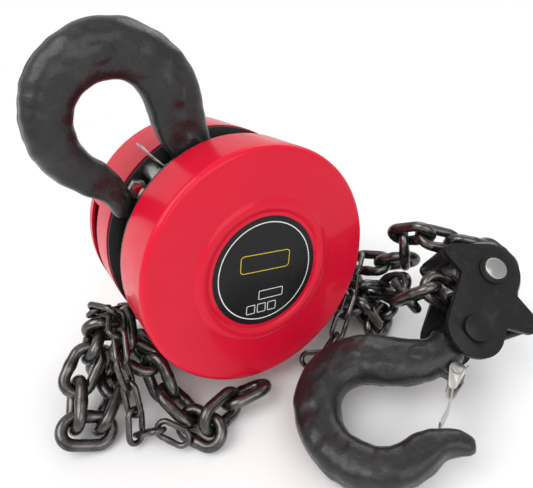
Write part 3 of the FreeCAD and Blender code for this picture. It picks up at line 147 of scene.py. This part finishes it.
class HoistFinishes(PropertyGroup):
    """Colours and roughness of the hoist's finishes."""

    enamel_colour: FloatVectorProperty(
        name="Enamel", description="Colour of the stove enamel on both covers",
        subtype="COLOR", size=4, min=0, max=1, default=(0.70, 0.0045, 0.030, 1))
    enamel_roughness: FloatProperty(
        name="Enamel roughness", description="Roughness under the enamel's clear skin",
        subtype="FACTOR", min=0, max=1, default=0.34)
    forging_colour: FloatVectorProperty(
        name="Forging", description="Colour of the black paint on the forged hooks",
        subtype="COLOR", size=4, min=0, max=1, default=(0.012, 0.012, 0.013, 1))
    plate_colour: FloatVectorProperty(
        name="Plate paint", description="Colour of the paint on side plates and block plates",
        subtype="COLOR", size=4, min=0, max=1, default=(0.010, 0.010, 0.011, 1))
    chain_colour: FloatVectorProperty(
        name="Chain", description="Colour of the heat treated chain steel",
        subtype="COLOR", size=4, min=0, max=1, default=(0.185, 0.178, 0.175, 1))
    zinc_colour: FloatVectorProperty(
        name="Zinc", description="Colour of the plated latches, nuts and pins",
        subtype="COLOR", size=4, min=0, max=1, default=(0.62, 0.61, 0.57, 1))
    steel_colour: FloatVectorProperty(
        name="Machined steel", description="Colour of gears, rollers and turned pins",
        subtype="COLOR", size=4, min=0, max=1, default=(0.50, 0.49, 0.47, 1))
    bronze_colour: FloatVectorProperty(
        name="Bronze", description="Colour of the plain bearings",
        subtype="COLOR", size=4, min=0, max=1, default=(0.45, 0.27, 0.10, 1))
    lining_colour: FloatVectorProperty(
        name="Friction lining", description="Colour of the brake's friction discs",
        subtype="COLOR", size=4, min=0, max=1, default=(0.11, 0.065, 0.04, 1))
    label_colour: FloatVectorProperty(
        name="Label", description="Ground colour of the round label",
        subtype="COLOR", size=4, min=0, max=1, default=(0.008, 0.008, 0.009, 1))
    line_colour: FloatVectorProperty(
        name="Label line", description="Colour of the label's ring",
        subtype="COLOR", size=4, min=0, max=1, default=(0.80, 0.80, 0.78, 1))
    field_colour: FloatVectorProperty(
        name="Label field", description="Colour of the line round the label's main field",
        subtype="COLOR", size=4, min=0, max=1, default=(0.78, 0.55, 0.03, 1))


class HoistPieces(PropertyGroup):
    """Sizes of what is worked on the hoist's surfaces."""

    weld_swell: FloatProperty(
        name="Weld swell",
        description="How much thicker a link's wire is at its weld, as a share of its radius",
        subtype="FACTOR", min=0, max=0.4, default=0.13)
    weld_length: FloatProperty(
        name="Weld length",
        description="Length of a link's weld along the wire, as a share of the wire's diameter",
        subtype="FACTOR", min=0.05, max=2, default=0.38)
    forging_voxel: FloatProperty(
        name="Forging grid", description="Size of the faces on the forged hooks",
        subtype="DISTANCE", unit="LENGTH", min=0.0005, max=0.01, default=0.0013)
    forging_relief: FloatProperty(
        name="Forging relief", description="Depth of the hammered lumps on the hooks",
        subtype="DISTANCE", unit="LENGTH", min=0, max=0.002, default=0.00042)
    parting_line: FloatProperty(
        name="Parting line", description="Height of the trimmed flash round the hooks' edge",
        subtype="DISTANCE", unit="LENGTH", min=0, max=0.002, default=0.00045)
    pad_height: FloatProperty(
        name="Blank pads", description="Height of the bare raised pads on the hooks",
        subtype="DISTANCE", unit="LENGTH", min=0, max=0.003, default=0.0014)
    plate_edge: FloatProperty(
        name="Broken edge", description="Width of the broken edges on plates, stays, nuts and latches",
        subtype="DISTANCE", unit="LENGTH", min=0, max=0.003, default=0.0006)
    label_line: FloatProperty(
        name="Label lines", description="Width of the lines round the label's bare fields",
        subtype="DISTANCE", unit="LENGTH", min=0.0001, max=0.003, default=0.0007)


class HoistStage(PropertyGroup):
    """The floor, the lights and the camera."""

    floor_colour: FloatVectorProperty(
        name="Floor", description="Colour of the floor",
        subtype="COLOR", size=4, min=0, max=1, default=(0.93, 0.93, 0.93, 1))
    camera_pitch: FloatProperty(
        name="Camera pitch", description="How far the camera looks down from level",
        subtype="ANGLE", unit="ROTATION", default=math.radians(34))
    camera_lens: FloatProperty(
        name="Camera lens", description="Focal length on a 36 mm sensor, in millimetres",
        unit="CAMERA", default=31.07, min=10, max=200)
    floor_size: FloatProperty(
        name="Floor size", description="Side of the square floor",
        unit="LENGTH", default=8.0, min=1)
    white_from: FloatProperty(
        name="White from", description="Distance at which the floor starts to turn white",
        unit="LENGTH", default=0.34, min=0)
    white_to: FloatProperty(
        name="White to", description="Distance at which the floor is white",
        unit="LENGTH", default=0.75, min=0)


class NodeBench:
    """A new material and short calls that add and join its nodes."""

    def __init__(self, name):
        self.material = bpy.data.materials.new(name)
        self.material.use_nodes = True
        self.tree = self.material.node_tree
        self.shader = self.tree.nodes["Principled BSDF"]
        self.place = self.add("ShaderNodeTexCoord").outputs["Object"]

    def add(self, kind, **settings):
        """Add a node with its settings."""
        node = self.tree.nodes.new(kind)
        for key, value in settings.items():
            setattr(node, key, value)
        return node

    def put(self, socket, value):
        """Join a socket to another, or set it to a plain value."""
        if isinstance(value, bpy.types.NodeSocket):
            self.tree.links.new(value, socket)
        else:
            socket.default_value = value

    def math(self, operation, *values):
        """A Math node's result."""
        node = self.add("ShaderNodeMath", operation=operation)
        for socket, value in zip(node.inputs, values):
            self.put(socket, value)
        return node.outputs[0]

    def noise(self, scale, detail=3.0, rough=0.55):
        """A noise from 0 to 1; scale is in cells per metre."""
        node = self.add("ShaderNodeTexNoise")
        self.put(node.inputs["Vector"], self.place)
        for key, value in (("Scale", scale), ("Detail", detail), ("Roughness", rough)):
            node.inputs[key].default_value = value
        return node.outputs["Fac"]

    def spread(self, value, low, high, to_low, to_high):
        """The value's span from low to high mapped to another span and held there."""
        node = self.add("ShaderNodeMapRange")
        for socket, number in zip(node.inputs, (value, low, high, to_low, to_high)):
            self.put(socket, number)
        return node.outputs[0]

    def mix(self, share, first, second):
        """A mix of two colours."""
        node = self.add("ShaderNodeMix", data_type="RGBA")
        self.put(node.inputs["Factor"], share)
        for key, value in (("A", first), ("B", second)):
            socket = [s for s in node.inputs if s.name == key and s.type == "RGBA"][0]
            self.put(socket, value)
        return [s for s in node.outputs if s.type == "RGBA"][0]

    def bump(self, height, distance, strength):
        """A bump normal from a height field; distance is in metres."""
        node = self.add("ShaderNodeBump")
        self.put(node.inputs["Height"], height)
        node.inputs["Distance"].default_value = distance
        node.inputs["Strength"].default_value = strength
        return node.outputs["Normal"]

    def finish(self, **values):
        """Set or join the shader's sockets by name, spaces written as underscores."""
        for key, value in values.items():
            self.put(self.shader.inputs[key.replace("_", " ")], value)
        return self.material


def scaled(colour, factor):
    """A colour made lighter or darker."""
    return (*(min(1.0, part * factor) for part in tuple(colour)[:3]), 1.0)


def enamel(name, props):
    """Stove enamel: even colour, faint orange peel and a clear glossy skin."""
    bench = NodeBench(name)
    drift = bench.spread(bench.noise(14, 2.0), 0.3, 0.7, 0, 1)
    colour = bench.mix(drift, scaled(props.enamel_colour, 0.93), props.enamel_colour)
    peel = bench.bump(bench.noise(420, 2.0), 0.0002, 0.16)
    even = props.enamel_roughness
    rough = bench.spread(bench.noise(60, 4.0), 0.3, 0.75, even - 0.05, even + 0.07)
    return bench.finish(Base_Color=colour, Roughness=rough, Normal=peel, Specular_IOR_Level=0.16,
                        Coat_Weight=0.25, Coat_Roughness=0.07)


def forged_paint(name, props):
    """Black paint over a forged skin: soft lumps, pits, and random browner patches that are partly worn paint
    and partly a painted reddish reflection.
    """
    bench = NodeBench(name)
    pits = bench.noise(330, 4.0, 0.7)
    height = bench.math("ADD", bench.noise(55, 5.0, 0.6), bench.math("MULTIPLY", pits, 0.35))
    # Random browner patches: partly worn paint, partly a painted reddish reflection
    worn_and_reflection = bench.spread(bench.noise(38, 6.0, 0.65), 0.52, 0.72, 0, 1)
    colour = bench.mix(worn_and_reflection, props.forging_colour, (0.030, 0.026, 0.024, 1))
    rough = bench.spread(pits, 0.3, 0.7, 0.22, 0.46)
    return bench.finish(Base_Color=colour, Roughness=rough, Normal=bench.bump(height, 0.0014, 0.8),
                        Coat_Weight=0.15, Coat_Roughness=0.18, Specular_IOR_Level=0.42)


def plate_paint(name, props):
    """Satin black paint on rolled plate, with a little dust."""
    bench = NodeBench(name)
    dust = bench.spread(bench.noise(120, 6.0, 0.7), 0.55, 0.8, 0, 1)
    colour = bench.mix(dust, props.plate_colour, scaled(props.plate_colour, 3.0))
    grain = bench.bump(bench.noise(700, 3.0), 0.0001, 0.3)
    rough = bench.spread(bench.noise(45, 4.0), 0.3, 0.7, 0.32, 0.46)
    return bench.finish(Base_Color=colour, Roughness=rough, Normal=grain, Specular_IOR_Level=0.24)


def chain_steel(name, props):
    """Heat treated dark steel with oil: darker and browner patches, weld scale, a fine bumped skin and wet
    highlights.
    """
    bench = NodeBench(name)
    shade = bench.spread(bench.noise(70, 5.0, 0.6), 0.32, 0.70, 0, 1)
    colour = bench.mix(shade, scaled(props.chain_colour, 0.35), props.chain_colour)
    film = bench.spread(bench.noise(28, 3.0), 0.4, 0.7, 0, 1)
    colour = bench.mix(bench.math("MULTIPLY", film, 0.35), colour, (0.095, 0.080, 0.068, 1))
    weld = bench.add("ShaderNodeAttribute", attribute_name="weld").outputs["Fac"]
    scale = bench.spread(bench.math("MULTIPLY", weld, bench.noise(650, 4.0, 0.7)), 0.2, 0.5, 0, 0.8)
    colour = bench.mix(scale, colour, (0.045, 0.040, 0.042, 1))
    rough = bench.spread(bench.noise(160, 5.0, 0.65), 0.3, 0.7, 0.13, 0.33)
    skin = bench.bump(bench.noise(480, 4.0, 0.6), 0.0002, 0.45)
    return bench.finish(Base_Color=colour, Roughness=rough, Metallic=0.92, Normal=skin)


def zinc(name, props):
    """Zinc plating: pale metal with faint cloudy spangle."""
    bench = NodeBench(name)
    cloud = bench.spread(bench.noise(150, 4.0), 0.3, 0.7, 0, 1)
    colour = bench.mix(cloud, scaled(props.zinc_colour, 0.78), props.zinc_colour)
    rough = bench.spread(bench.noise(220, 3.0), 0.3, 0.7, 0.26, 0.42)
    return bench.finish(Base_Color=colour, Roughness=rough, Metallic=0.95,
                        Normal=bench.bump(bench.noise(600, 2.0), 0.0001, 0.25))


def machined(name, colour, roughness=0.32, scale=260):
    """Oiled machined metal with fine tool marks."""
    bench = NodeBench(name)
    film = bench.spread(bench.noise(40, 3.0), 0.35, 0.7, 0, 1)
    shade = bench.mix(film, scaled(colour, 0.7), colour)
    rough = bench.spread(bench.noise(scale, 4.0), 0.3, 0.7, roughness - 0.08, roughness + 0.1)
    return bench.finish(Base_Color=shade, Roughness=rough, Metallic=0.95,
                        Normal=bench.bump(bench.noise(scale * 3, 2.0), 0.0001, 0.25))


def lining(name, props):
    """Moulded friction lining with short fibres."""
    bench = NodeBench(name)
    fibre = bench.spread(bench.noise(900, 3.0, 0.8), 0.5, 0.7, 0, 1)
    colour = bench.mix(fibre, props.lining_colour, scaled(props.lining_colour, 2.2))
    return bench.finish(Base_Color=colour, Roughness=0.85, Normal=bench.bump(fibre, 0.0001, 0.4))


def printed(name, colour):
    """Printed ink: one colour that is a little thinner in places."""
    bench = NodeBench(name)
    thin = bench.spread(bench.noise(300, 3.0), 0.3, 0.7, 0, 1)
    return bench.finish(Base_Color=bench.mix(thin, scaled(colour, 0.85), colour), Roughness=0.35)


def label_ground(name, props):
    """Glossy black film with a white ring a little inside its rim, centred on the label."""
    bench = NodeBench(name)
    mapping = bench.add("ShaderNodeMapping")
    bench.put(mapping.inputs["Vector"], bench.place)
    mapping.inputs["Location"].default_value = tuple(-LABEL_MIDDLE)
    length = bench.add("ShaderNodeVectorMath", operation="LENGTH")
    bench.put(length.inputs[0], mapping.outputs[0])
    away = bench.math("ABSOLUTE", bench.math("SUBTRACT", length.outputs["Value"], RING_RADIUS))
    ring = bench.math("LESS_THAN", away, RING_HALF_WIDTH)
    colour = bench.mix(ring, props.label_colour, props.line_colour)
    rough = bench.spread(bench.noise(200, 3.0), 0.3, 0.7, 0.22, 0.30)
    return bench.finish(Base_Color=colour, Roughness=rough, Specular_IOR_Level=0.25)


def finish_table(props):
    """Material per slot of the record."""
    return {
        "red_enamel": enamel("red_stove_enamel", props),
        "black_plate": plate_paint("satin_black_plate_paint", props),
        "label_black": label_ground("round_label_film", props),
        "zinc": zinc("zinc_plating", props),
        "forged_black": forged_paint("black_forging_paint", props),
        "gear_steel": machined("oiled_gear_steel", props.steel_colour),
        "cast_wheel": machined("cast_wheel_iron", scaled(props.steel_colour, 0.45), 0.5, 140),
        "bronze": machined("bearing_bronze", props.bronze_colour),
        "friction_lining": lining("moulded_friction_lining", props),
        "turned_steel": machined("turned_axle_steel", scaled(props.steel_colour, 1.2), 0.24),
        "spring_steel": machined("spring_steel", props.steel_colour, 0.3),
        "chain_steel": chain_steel("oiled_chain_steel", props),
    }


class HOIST_OT_finishes(Operator):
    """Give every node of the frame the finish of its material slot"""

    bl_idname = "hoist.finishes"
    bl_label = "Finish the nodes"

    def execute(self, context):
        table = finish_table(context.scene.hoist_finishes)
        slots = {part["node"]: part["material_slot"] for part in frame["record"]["subparts"]}
        for name, node in nodes.items():
            node.data.materials.clear()
            node.data.materials.append(table[slots[name]])
        return {"FINISHED"}


def add_piece(name, points, faces, body, material, smooth=True):
    """A new mesh piece that rides on a body and takes the finish it is given."""
    mesh = bpy.data.meshes.new(name)
    mesh.from_pydata(points.tolist() if isinstance(points, np.ndarray) else points, [],
                     faces.tolist() if isinstance(faces, np.ndarray) else faces)
    return add_mesh(name, mesh, body, material, smooth)


def add_mesh(name, mesh, body, material, smooth=True):
    """An object for a finished mesh, on its body and its material."""
    mesh.polygons.foreach_set("use_smooth", [smooth] * len(mesh.polygons))
    mesh.materials.clear()
    mesh.materials.append(material)
    piece = bpy.data.objects.new(name, mesh)
    bpy.context.scene.collection.objects.link(piece)
    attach(piece, body)
    return piece


def merged_copy(node, flat_angle=None):
    """A copy of a node's mesh with its doubled vertices merged and, if asked, its flat triangles joined."""
    bench = bmesh.new()
    bench.from_mesh(nodes[node].data)
    bmesh.ops.remove_doubles(bench, verts=bench.verts, dist=MERGE_DISTANCE)
    if flat_angle is not None:
        bmesh.ops.dissolve_limit(bench, angle_limit=flat_angle, verts=bench.verts, edges=bench.edges)
    mesh = bpy.data.meshes.new(node + "_merged")
    bench.to_mesh(mesh)
    bench.free()
    return mesh


def mesh_points(mesh):
    """A mesh's vertices as rows."""
    points = np.empty(len(mesh.vertices) * 3)
    mesh.vertices.foreach_get("co", points)
    return points.reshape(-1, 3)


def loose_parts(mesh):
    """Vertex rows of each loose part: each vertex takes its neighbours' lowest number, until none changes."""
    ends = np.empty(len(mesh.edges) * 2, dtype=np.int64)
    mesh.edges.foreach_get("vertices", ends)
    first, second = ends[0::2], ends[1::2]
    labels = np.arange(len(mesh.vertices))
    while True:
        lowest = labels.copy()
        np.minimum.at(lowest, first, labels[second])
        np.minimum.at(lowest, second, labels[first])
        lowest = lowest[lowest]
        if np.array_equal(lowest, labels):
            break
        labels = lowest
    points = mesh_points(mesh)
    return [points[labels == label] for label in np.unique(labels)]


def link_frame(points):
    """Centre, axes (long, wide, thick) and half sizes of a link, from the spread of its surface points."""
    middle = points.mean(axis=0)
    axes = np.linalg.svd(points - middle, full_matrices=False)[2]
    local = (points - middle) @ axes.T
    low, high = local.min(axis=0), local.max(axis=0)
    return middle + ((low + high) / 2) @ axes, axes, (high - low) / 2


def link_surface(centre, axes, half, weld_side, props, stations, around):
    """A welded link: a circle of the wire's radius r is carried along an oval.

    The oval has straights of half length s and ends of bend R. Its point at the angle t is
    (s sign(cos t) + R cos t, R sin t), with stations for each end's half turn, and the straights lie between
    them. On one straight the radius is r (1 + swell exp(-(u / length)^2)), where u is the distance from the
    weld.
    """
    long_half, wide_half, wire = half
    bend = wide_half - wire
    straight = long_half - wide_half
    turn = np.linspace(-math.pi / 2, math.pi / 2, stations)
    inner = np.linspace(-straight, straight, stations // 2 + 1)[1:-1]
    long_way = np.concatenate((straight + bend * np.cos(turn), inner[::-1],
                               -straight - bend * np.cos(turn), inner))
    wide_way = np.concatenate((bend * np.sin(turn), np.full(inner.size, bend), -bend * np.sin(turn),
                               np.full(inner.size, -bend)))
    out_long = np.concatenate((np.cos(turn), np.zeros(inner.size), -np.cos(turn), np.zeros(inner.size)))
    out_wide = np.concatenate((np.sin(turn), np.ones(inner.size), -np.sin(turn), -np.ones(inner.size)))
    weld = np.where(wide_way * weld_side > 0.9 * bend,
                    np.exp(-(long_way / (props.weld_length * 2 * wire)) ** 2), 0.0)
    radius = wire * (1 + props.weld_swell * weld)[:, None]
    angle = np.linspace(0, 2 * math.pi, around, endpoint=False)[None, :]
    local = np.stack(((long_way[:, None] + radius * np.cos(angle) * out_long[:, None]),
                      (wide_way[:, None] + radius * np.cos(angle) * out_wide[:, None]),
                      radius * np.sin(angle) * np.ones_like(long_way)[:, None]), axis=-1)
    points = centre + local.reshape(-1, 3) @ axes
    return points, np.repeat(weld, around)


def ring_faces(rows, columns):
    """Quads of a grid that closes on itself both ways."""
    row, column = np.meshgrid(np.arange(rows), np.arange(columns), indexing="ij")
    down, right = (row + 1) % rows, (column + 1) % columns
    return np.stack((row * columns + column, down * columns + column, down * columns + right,
                     row * columns + right), axis=-1).reshape(-1, 4)


def outward(faces, handedness):
    """The faces, turned round if the grid's frame is left handed."""
    return faces if handedness > 0 else faces[:, ::-1]


class HOIST_OT_chains(Operator):
    """Lay a welded link with its swell and its weld mark over each link of the load chain and hand chain"""

    bl_idname = "hoist.chains"
    bl_label = "Lay the chains"

    def execute(self, context):
        props = context.scene.hoist_pieces
        for node in sorted(name for name in nodes if name.startswith(("load_chain_", "hand_chain_"))):
            steel = nodes[node].data.materials[0]
            stations, around = LINK_GRIDS[node.split("_")[0]]
            all_points, all_faces, all_welds = [], [], []
            count = 0
            for number, part in enumerate(loose_parts(merged_copy(node))):
                centre, axes, half = link_frame(part)
                side = 1 if number % 2 else -1
                points, weld = link_surface(centre, axes, half, side, props, stations, around)
                faces = outward(ring_faces(len(points) // around, around), np.linalg.det(axes))
                all_points.append(points)
                all_faces.append(faces + count)
                all_welds.append(weld)
                count += len(points)
            name = node + "_links"
            piece = add_piece(name, np.concatenate(all_points), np.concatenate(all_faces),
                              nodes[node]["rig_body"], steel)
            weld = piece.data.attributes.new("weld", "FLOAT", "POINT")
            weld.data.foreach_set("value", np.concatenate(all_welds).astype(np.float32))
            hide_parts(node)
        return {"FINISHED"}


def hook_frame(hook):
    """A hook's origin and its axes along the shank, to the tip's side and through its thickness."""
    joints = {joint["name"]: joint for joint in frame["joints"]}
    swivel = joints[hook + "_hook_swivel"]
    along = np.array(swivel["axis"])
    through = np.array(joints[LATCH_JOINTS[hook]]["axis"])
    return np.array(swivel["pos_m"]), np.stack((along, np.cross(through, along), through))


def lumps(points, seed):
    """A smooth seeded height: the sum of n plane waves in all directions, over the root of n."""
    draws = np.random.default_rng(seed)
    ways = draws.normal(size=(LUMP_WAVES, 3))
    ways /= np.linalg.norm(ways, axis=1)[:, None]
    lengths = draws.uniform(*LUMP_LENGTHS, LUMP_WAVES)
    phases = draws.uniform(0, 2 * math.pi, LUMP_WAVES)
    waves = np.sin(points @ (ways * (2 * math.pi / lengths)[:, None]).T + phases)
    return waves.sum(axis=1) / math.sqrt(LUMP_WAVES)


def forged(points, normals, hook, props):
    """A hook's skin moved along its normals.

    The height is relief times the lumps, plus the flash exp(-(z / width)^2) where the skin faces sideways,
    plus a bare oval pad 1 / (1 + q^8) for each pad, with q the distance from its centre in half sizes.
    """
    origin, axes = hook_frame(hook)
    along, side, through = ((points - origin) @ axes.T).T
    facing = normals @ axes.T
    height = props.forging_relief * lumps(points, HOOK_SEEDS[hook])
    sideways = np.clip(1.6 - 2.4 * np.abs(facing[:, 2]), 0, 1)
    outside = sideways * np.clip((along - FLASH_START) / FLASH_RISE, 0, 1)
    height += props.parting_line * np.exp(-(through / FLASH_WIDTH) ** 2) * outside
    for pad_along, pad_side, half_long, half_wide, turn, face in HOOK_PADS:
        turned = math.radians(turn)
        across, up = along - pad_along, side - pad_side
        first = (across * math.cos(turned) + up * math.sin(turned)) / half_long
        second = (up * math.cos(turned) - across * math.sin(turned)) / half_wide
        reach = first ** 2 + second ** 2
        height += props.pad_height / (1 + reach ** 4) * (face * facing[:, 2] > 0.3)
    return points + normals * height[:, None]


class HOIST_OT_hooks(Operator):
    """Give both hooks their forged skin: lumps, the trimmed flash round the edge and bare raised pads"""

    bl_idname = "hoist.hooks"
    bl_label = "Forge the hooks"

    def execute(self, context):
        props = context.scene.hoist_pieces
        for hook in LATCH_JOINTS:
            node = hook + "_hook"
            paint = nodes[node].data.materials[0]
            raw = bpy.data.objects.new(node + "_raw", merged_copy(node))
            context.scene.collection.objects.link(raw)
            remesh = raw.modifiers.new("even_faces", "REMESH")
            remesh.mode = "VOXEL"
            remesh.voxel_size = props.forging_voxel
            even = raw.modifiers.new("even_skin", "SMOOTH")
            even.iterations = 2
            graph = context.evaluated_depsgraph_get()
            mesh = bpy.data.meshes.new_from_object(raw.evaluated_get(graph))
            bpy.data.objects.remove(raw)
            mesh.name = node + "_forging"
            normals = np.empty(len(mesh.vertices) * 3)
            mesh.vertices.foreach_get("normal", normals)
            points = forged(mesh_points(mesh), normals.reshape(-1, 3), hook, props)
            mesh.vertices.foreach_set("co", points.ravel())
            mesh.update()
            piece = add_mesh(node + "_forging", mesh, nodes[node]["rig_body"], paint)
            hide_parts(node)
        return {"FINISHED"}


class HOIST_OT_edges(Operator):
    """Lay broken edges on the plates, bars, stays, studs, nuts, latches and pins"""

    bl_idname = "hoist.edges"
    bl_label = "Break the edges"

    def execute(self, context):
        props = context.scene.hoist_pieces
        for node, share in BROKEN_EDGES.items():
            material = nodes[node].data.materials[0]
            mesh = merged_copy(node, FLAT_ANGLE)
            piece = add_mesh(node + "_dressed", mesh, nodes[node]["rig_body"], material)
            bevel = piece.modifiers.new("broken_edges", "BEVEL")
            bevel.width = props.plate_edge * share
            bevel.segments = 2
            bevel.limit_method = "ANGLE"
            bevel.angle_limit = EDGE_ANGLE
            bevel.harden_normals = True
            bevel.use_clamp_overlap = True
            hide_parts(node)
        return {"FINISHED"}


def label_axes():
    """The label's right, up and outer directions: outer is the sheave's axis, up is square to it."""
    joints = {joint["name"]: joint for joint in frame["joints"]}
    outer = np.array(joints["load_sheave_spin"]["axis"])
    outer *= -math.copysign(1, outer[1])
    up = np.array(LABEL_UP) - outer * (np.array(LABEL_UP) @ outer)
    up /= np.linalg.norm(up)
    return np.stack((np.cross(up, outer), up, outer))


def field_line(width, height, corner, line):
    """A flat band round a field: quarter circles of radius c and c - line at each corner, joined."""
    turn = np.linspace(0, math.pi / 2, CORNER_STEPS)
    corners = []
    for number, (across, up) in enumerate(((1, 1), (-1, 1), (-1, -1), (1, -1))):
        angle = turn + number * math.pi / 2
        centre = np.array((across * (width / 2 - corner), up * (height / 2 - corner)))
        for radius in (corner, corner - line):
            corners.append(centre + radius * np.stack((np.cos(angle), np.sin(angle)), axis=-1))
    outer = np.concatenate(corners[0::2])
    inner = np.concatenate(corners[1::2])
    count = len(outer)
    start = np.arange(count)
    following = (start + 1) % count
    faces = np.stack((start, following, following + count, start + count), axis=-1)
    return np.concatenate((outer, inner)), faces


class HOIST_OT_label(Operator):
    """Print the bare fields on the round label: one yellow lined, the rest white lined"""

    bl_idname = "hoist.label"
    bl_label = "Print the label's fields"

    def execute(self, context):
        props = context.scene.hoist_pieces
        finishes = context.scene.hoist_finishes
        axes = label_axes()
        middle = LABEL_MIDDLE + axes[2] * LABEL_PROUD
        inks = {"yellow": printed("yellow_label_line", finishes.field_colour),
                "white": printed("white_label_line", finishes.line_colour)}
        for name, ink, across, up, width, height, corner in LABEL_FIELDS:
            flat, faces = field_line(width, height, corner, props.label_line)
            points = middle + (across + flat[:, :1]) * axes[0] + (up + flat[:, 1:]) * axes[1]
            add_piece(name, points, faces, "root", inks[ink], smooth=False)
        return {"FINISHED"}


def floor_material(props):
    """A pale matt floor that turns into the white surroundings with its distance from the hoist."""
    bench = NodeBench("pale_floor")
    bench.finish(Base_Color=props.floor_colour, Roughness=0.8, Specular_IOR_Level=0.2)
    length = bench.add("ShaderNodeVectorMath", operation="LENGTH")
    bench.put(length.inputs[0], bench.place)
    far = bench.spread(length.outputs["Value"], props.white_from, props.white_to, 0, 1)
    path = bench.add("ShaderNodeLightPath")
    seen = bench.math("MAXIMUM", path.outputs["Is Camera Ray"], path.outputs["Is Glossy Ray"])
    white = bench.add("ShaderNodeEmission")
    white.inputs["Color"].default_value = (1, 1, 1, 1)
    blend = bench.add("ShaderNodeMixShader")
    bench.put(blend.inputs[0], bench.math("MULTIPLY", far, seen))
    bench.put(blend.inputs[1], bench.shader.outputs["BSDF"])
    bench.put(blend.inputs[2], white.outputs["Emission"])
    bench.put(bench.tree.nodes["Material Output"].inputs["Surface"], blend.outputs[0])
    return bench.material


class HOIST_OT_stage(Operator):
    """Make the floor, the soft lights, the white surroundings and the camera"""

    bl_idname = "hoist.stage"
    bl_label = "Set the stage"

    def execute(self, context):
        props = context.scene.hoist_stage
        half = props.floor_size / 2
        mesh = bpy.data.meshes.new("floor")
        corners = [(-half, -half, 0), (half, -half, 0), (half, half, 0), (-half, half, 0)]
        mesh.from_pydata(corners, [], [(0, 1, 2, 3)])
        floor = bpy.data.objects.new("floor", mesh)
        context.scene.collection.objects.link(floor)
        floor.data.materials.append(floor_material(props))

        for name, place, size, power in LIGHTS:
            lamp = bpy.data.lights.new(name, "AREA")
            lamp.size = size
            lamp.energy = power
            shown = bpy.data.objects.new(name, lamp)
            context.scene.collection.objects.link(shown)
            shown.location = place
            aim = -np.array(place)
            level = math.hypot(aim[0], aim[1])
            shown.rotation_euler = (math.atan2(level, -aim[2]), 0, math.atan2(aim[1], aim[0]) - math.pi / 2)

        world = bpy.data.worlds.new("white_surroundings")
        world.use_nodes = True
        tree = world.node_tree
        back = tree.nodes["Background"]
        back.inputs["Color"].default_value = (1, 1, 1, 1)
        path = tree.nodes.new("ShaderNodeLightPath")
        strength = tree.nodes.new("ShaderNodeMapRange")
        seen = tree.nodes.new("ShaderNodeMath")
        seen.operation = "MAXIMUM"
        tree.links.new(path.outputs["Is Camera Ray"], seen.inputs[0])
        tree.links.new(path.outputs["Is Transmission Ray"], seen.inputs[1])
        tree.links.new(seen.outputs[0], strength.inputs[0])
        strength.inputs[3].default_value = SURROUNDINGS_LIGHT
        strength.inputs[4].default_value = 1.0
        tree.links.new(strength.outputs[0], back.inputs["Strength"])
        context.scene.world = world

        camera = bpy.data.cameras.new("photo_camera")
        camera.sensor_width = 36.0
        camera.lens = props.camera_lens
        camera.clip_start = 0.01
        shown = bpy.data.objects.new("photo_camera", camera)
        shown.location = tuple(LABEL_MIDDLE + CAMERA_FROM_LABEL)
        shown.rotation_euler = (math.pi / 2 - props.camera_pitch, 0, 0)
        context.scene.collection.objects.link(shown)
        context.scene.camera = shown
        context.scene.view_settings.view_transform = "Standard"
        return {"FINISHED"}


class HOIST_PT_panel(Panel):
    """Lists the steps that dress the hoist"""

    bl_idname = "HOIST_PT_panel"
    bl_label = "Chain hoist"
    bl_space_type = "VIEW_3D"
    bl_region_type = "UI"
    bl_category = "Hoist"

    def draw(self, context):
        for step in STEPS:
            self.layout.operator(step.bl_idname)
        for group in (context.scene.hoist_finishes, context.scene.hoist_pieces, context.scene.hoist_stage):
            for name in group.bl_rna.properties.keys():
                if name not in ("rna_type", "name"):
                    self.layout.prop(group, name)


STEPS = (HOIST_OT_finishes, HOIST_OT_edges, HOIST_OT_chains, HOIST_OT_hooks, HOIST_OT_label, HOIST_OT_stage)
CLASSES = (HoistFinishes, HoistPieces, HoistStage, *STEPS, HOIST_PT_panel)


def register():
    for part in CLASSES:
        bpy.utils.register_class(part)
    bpy.types.Scene.hoist_finishes = PointerProperty(type=HoistFinishes)
    bpy.types.Scene.hoist_pieces = PointerProperty(type=HoistPieces)
    bpy.types.Scene.hoist_stage = PointerProperty(type=HoistStage)


def unregister():
    del bpy.types.Scene.hoist_stage
    del bpy.types.Scene.hoist_pieces
    del bpy.types.Scene.hoist_finishes
    for part in reversed(CLASSES):
        bpy.utils.unregister_class(part)


def main():
    register()
    bpy.ops.hoist.finishes()
    bpy.ops.hoist.edges()
    bpy.ops.hoist.chains()
    bpy.ops.hoist.hooks()
    bpy.ops.hoist.label()
    bpy.ops.hoist.stage()


if __name__ == "__main__":
    main()
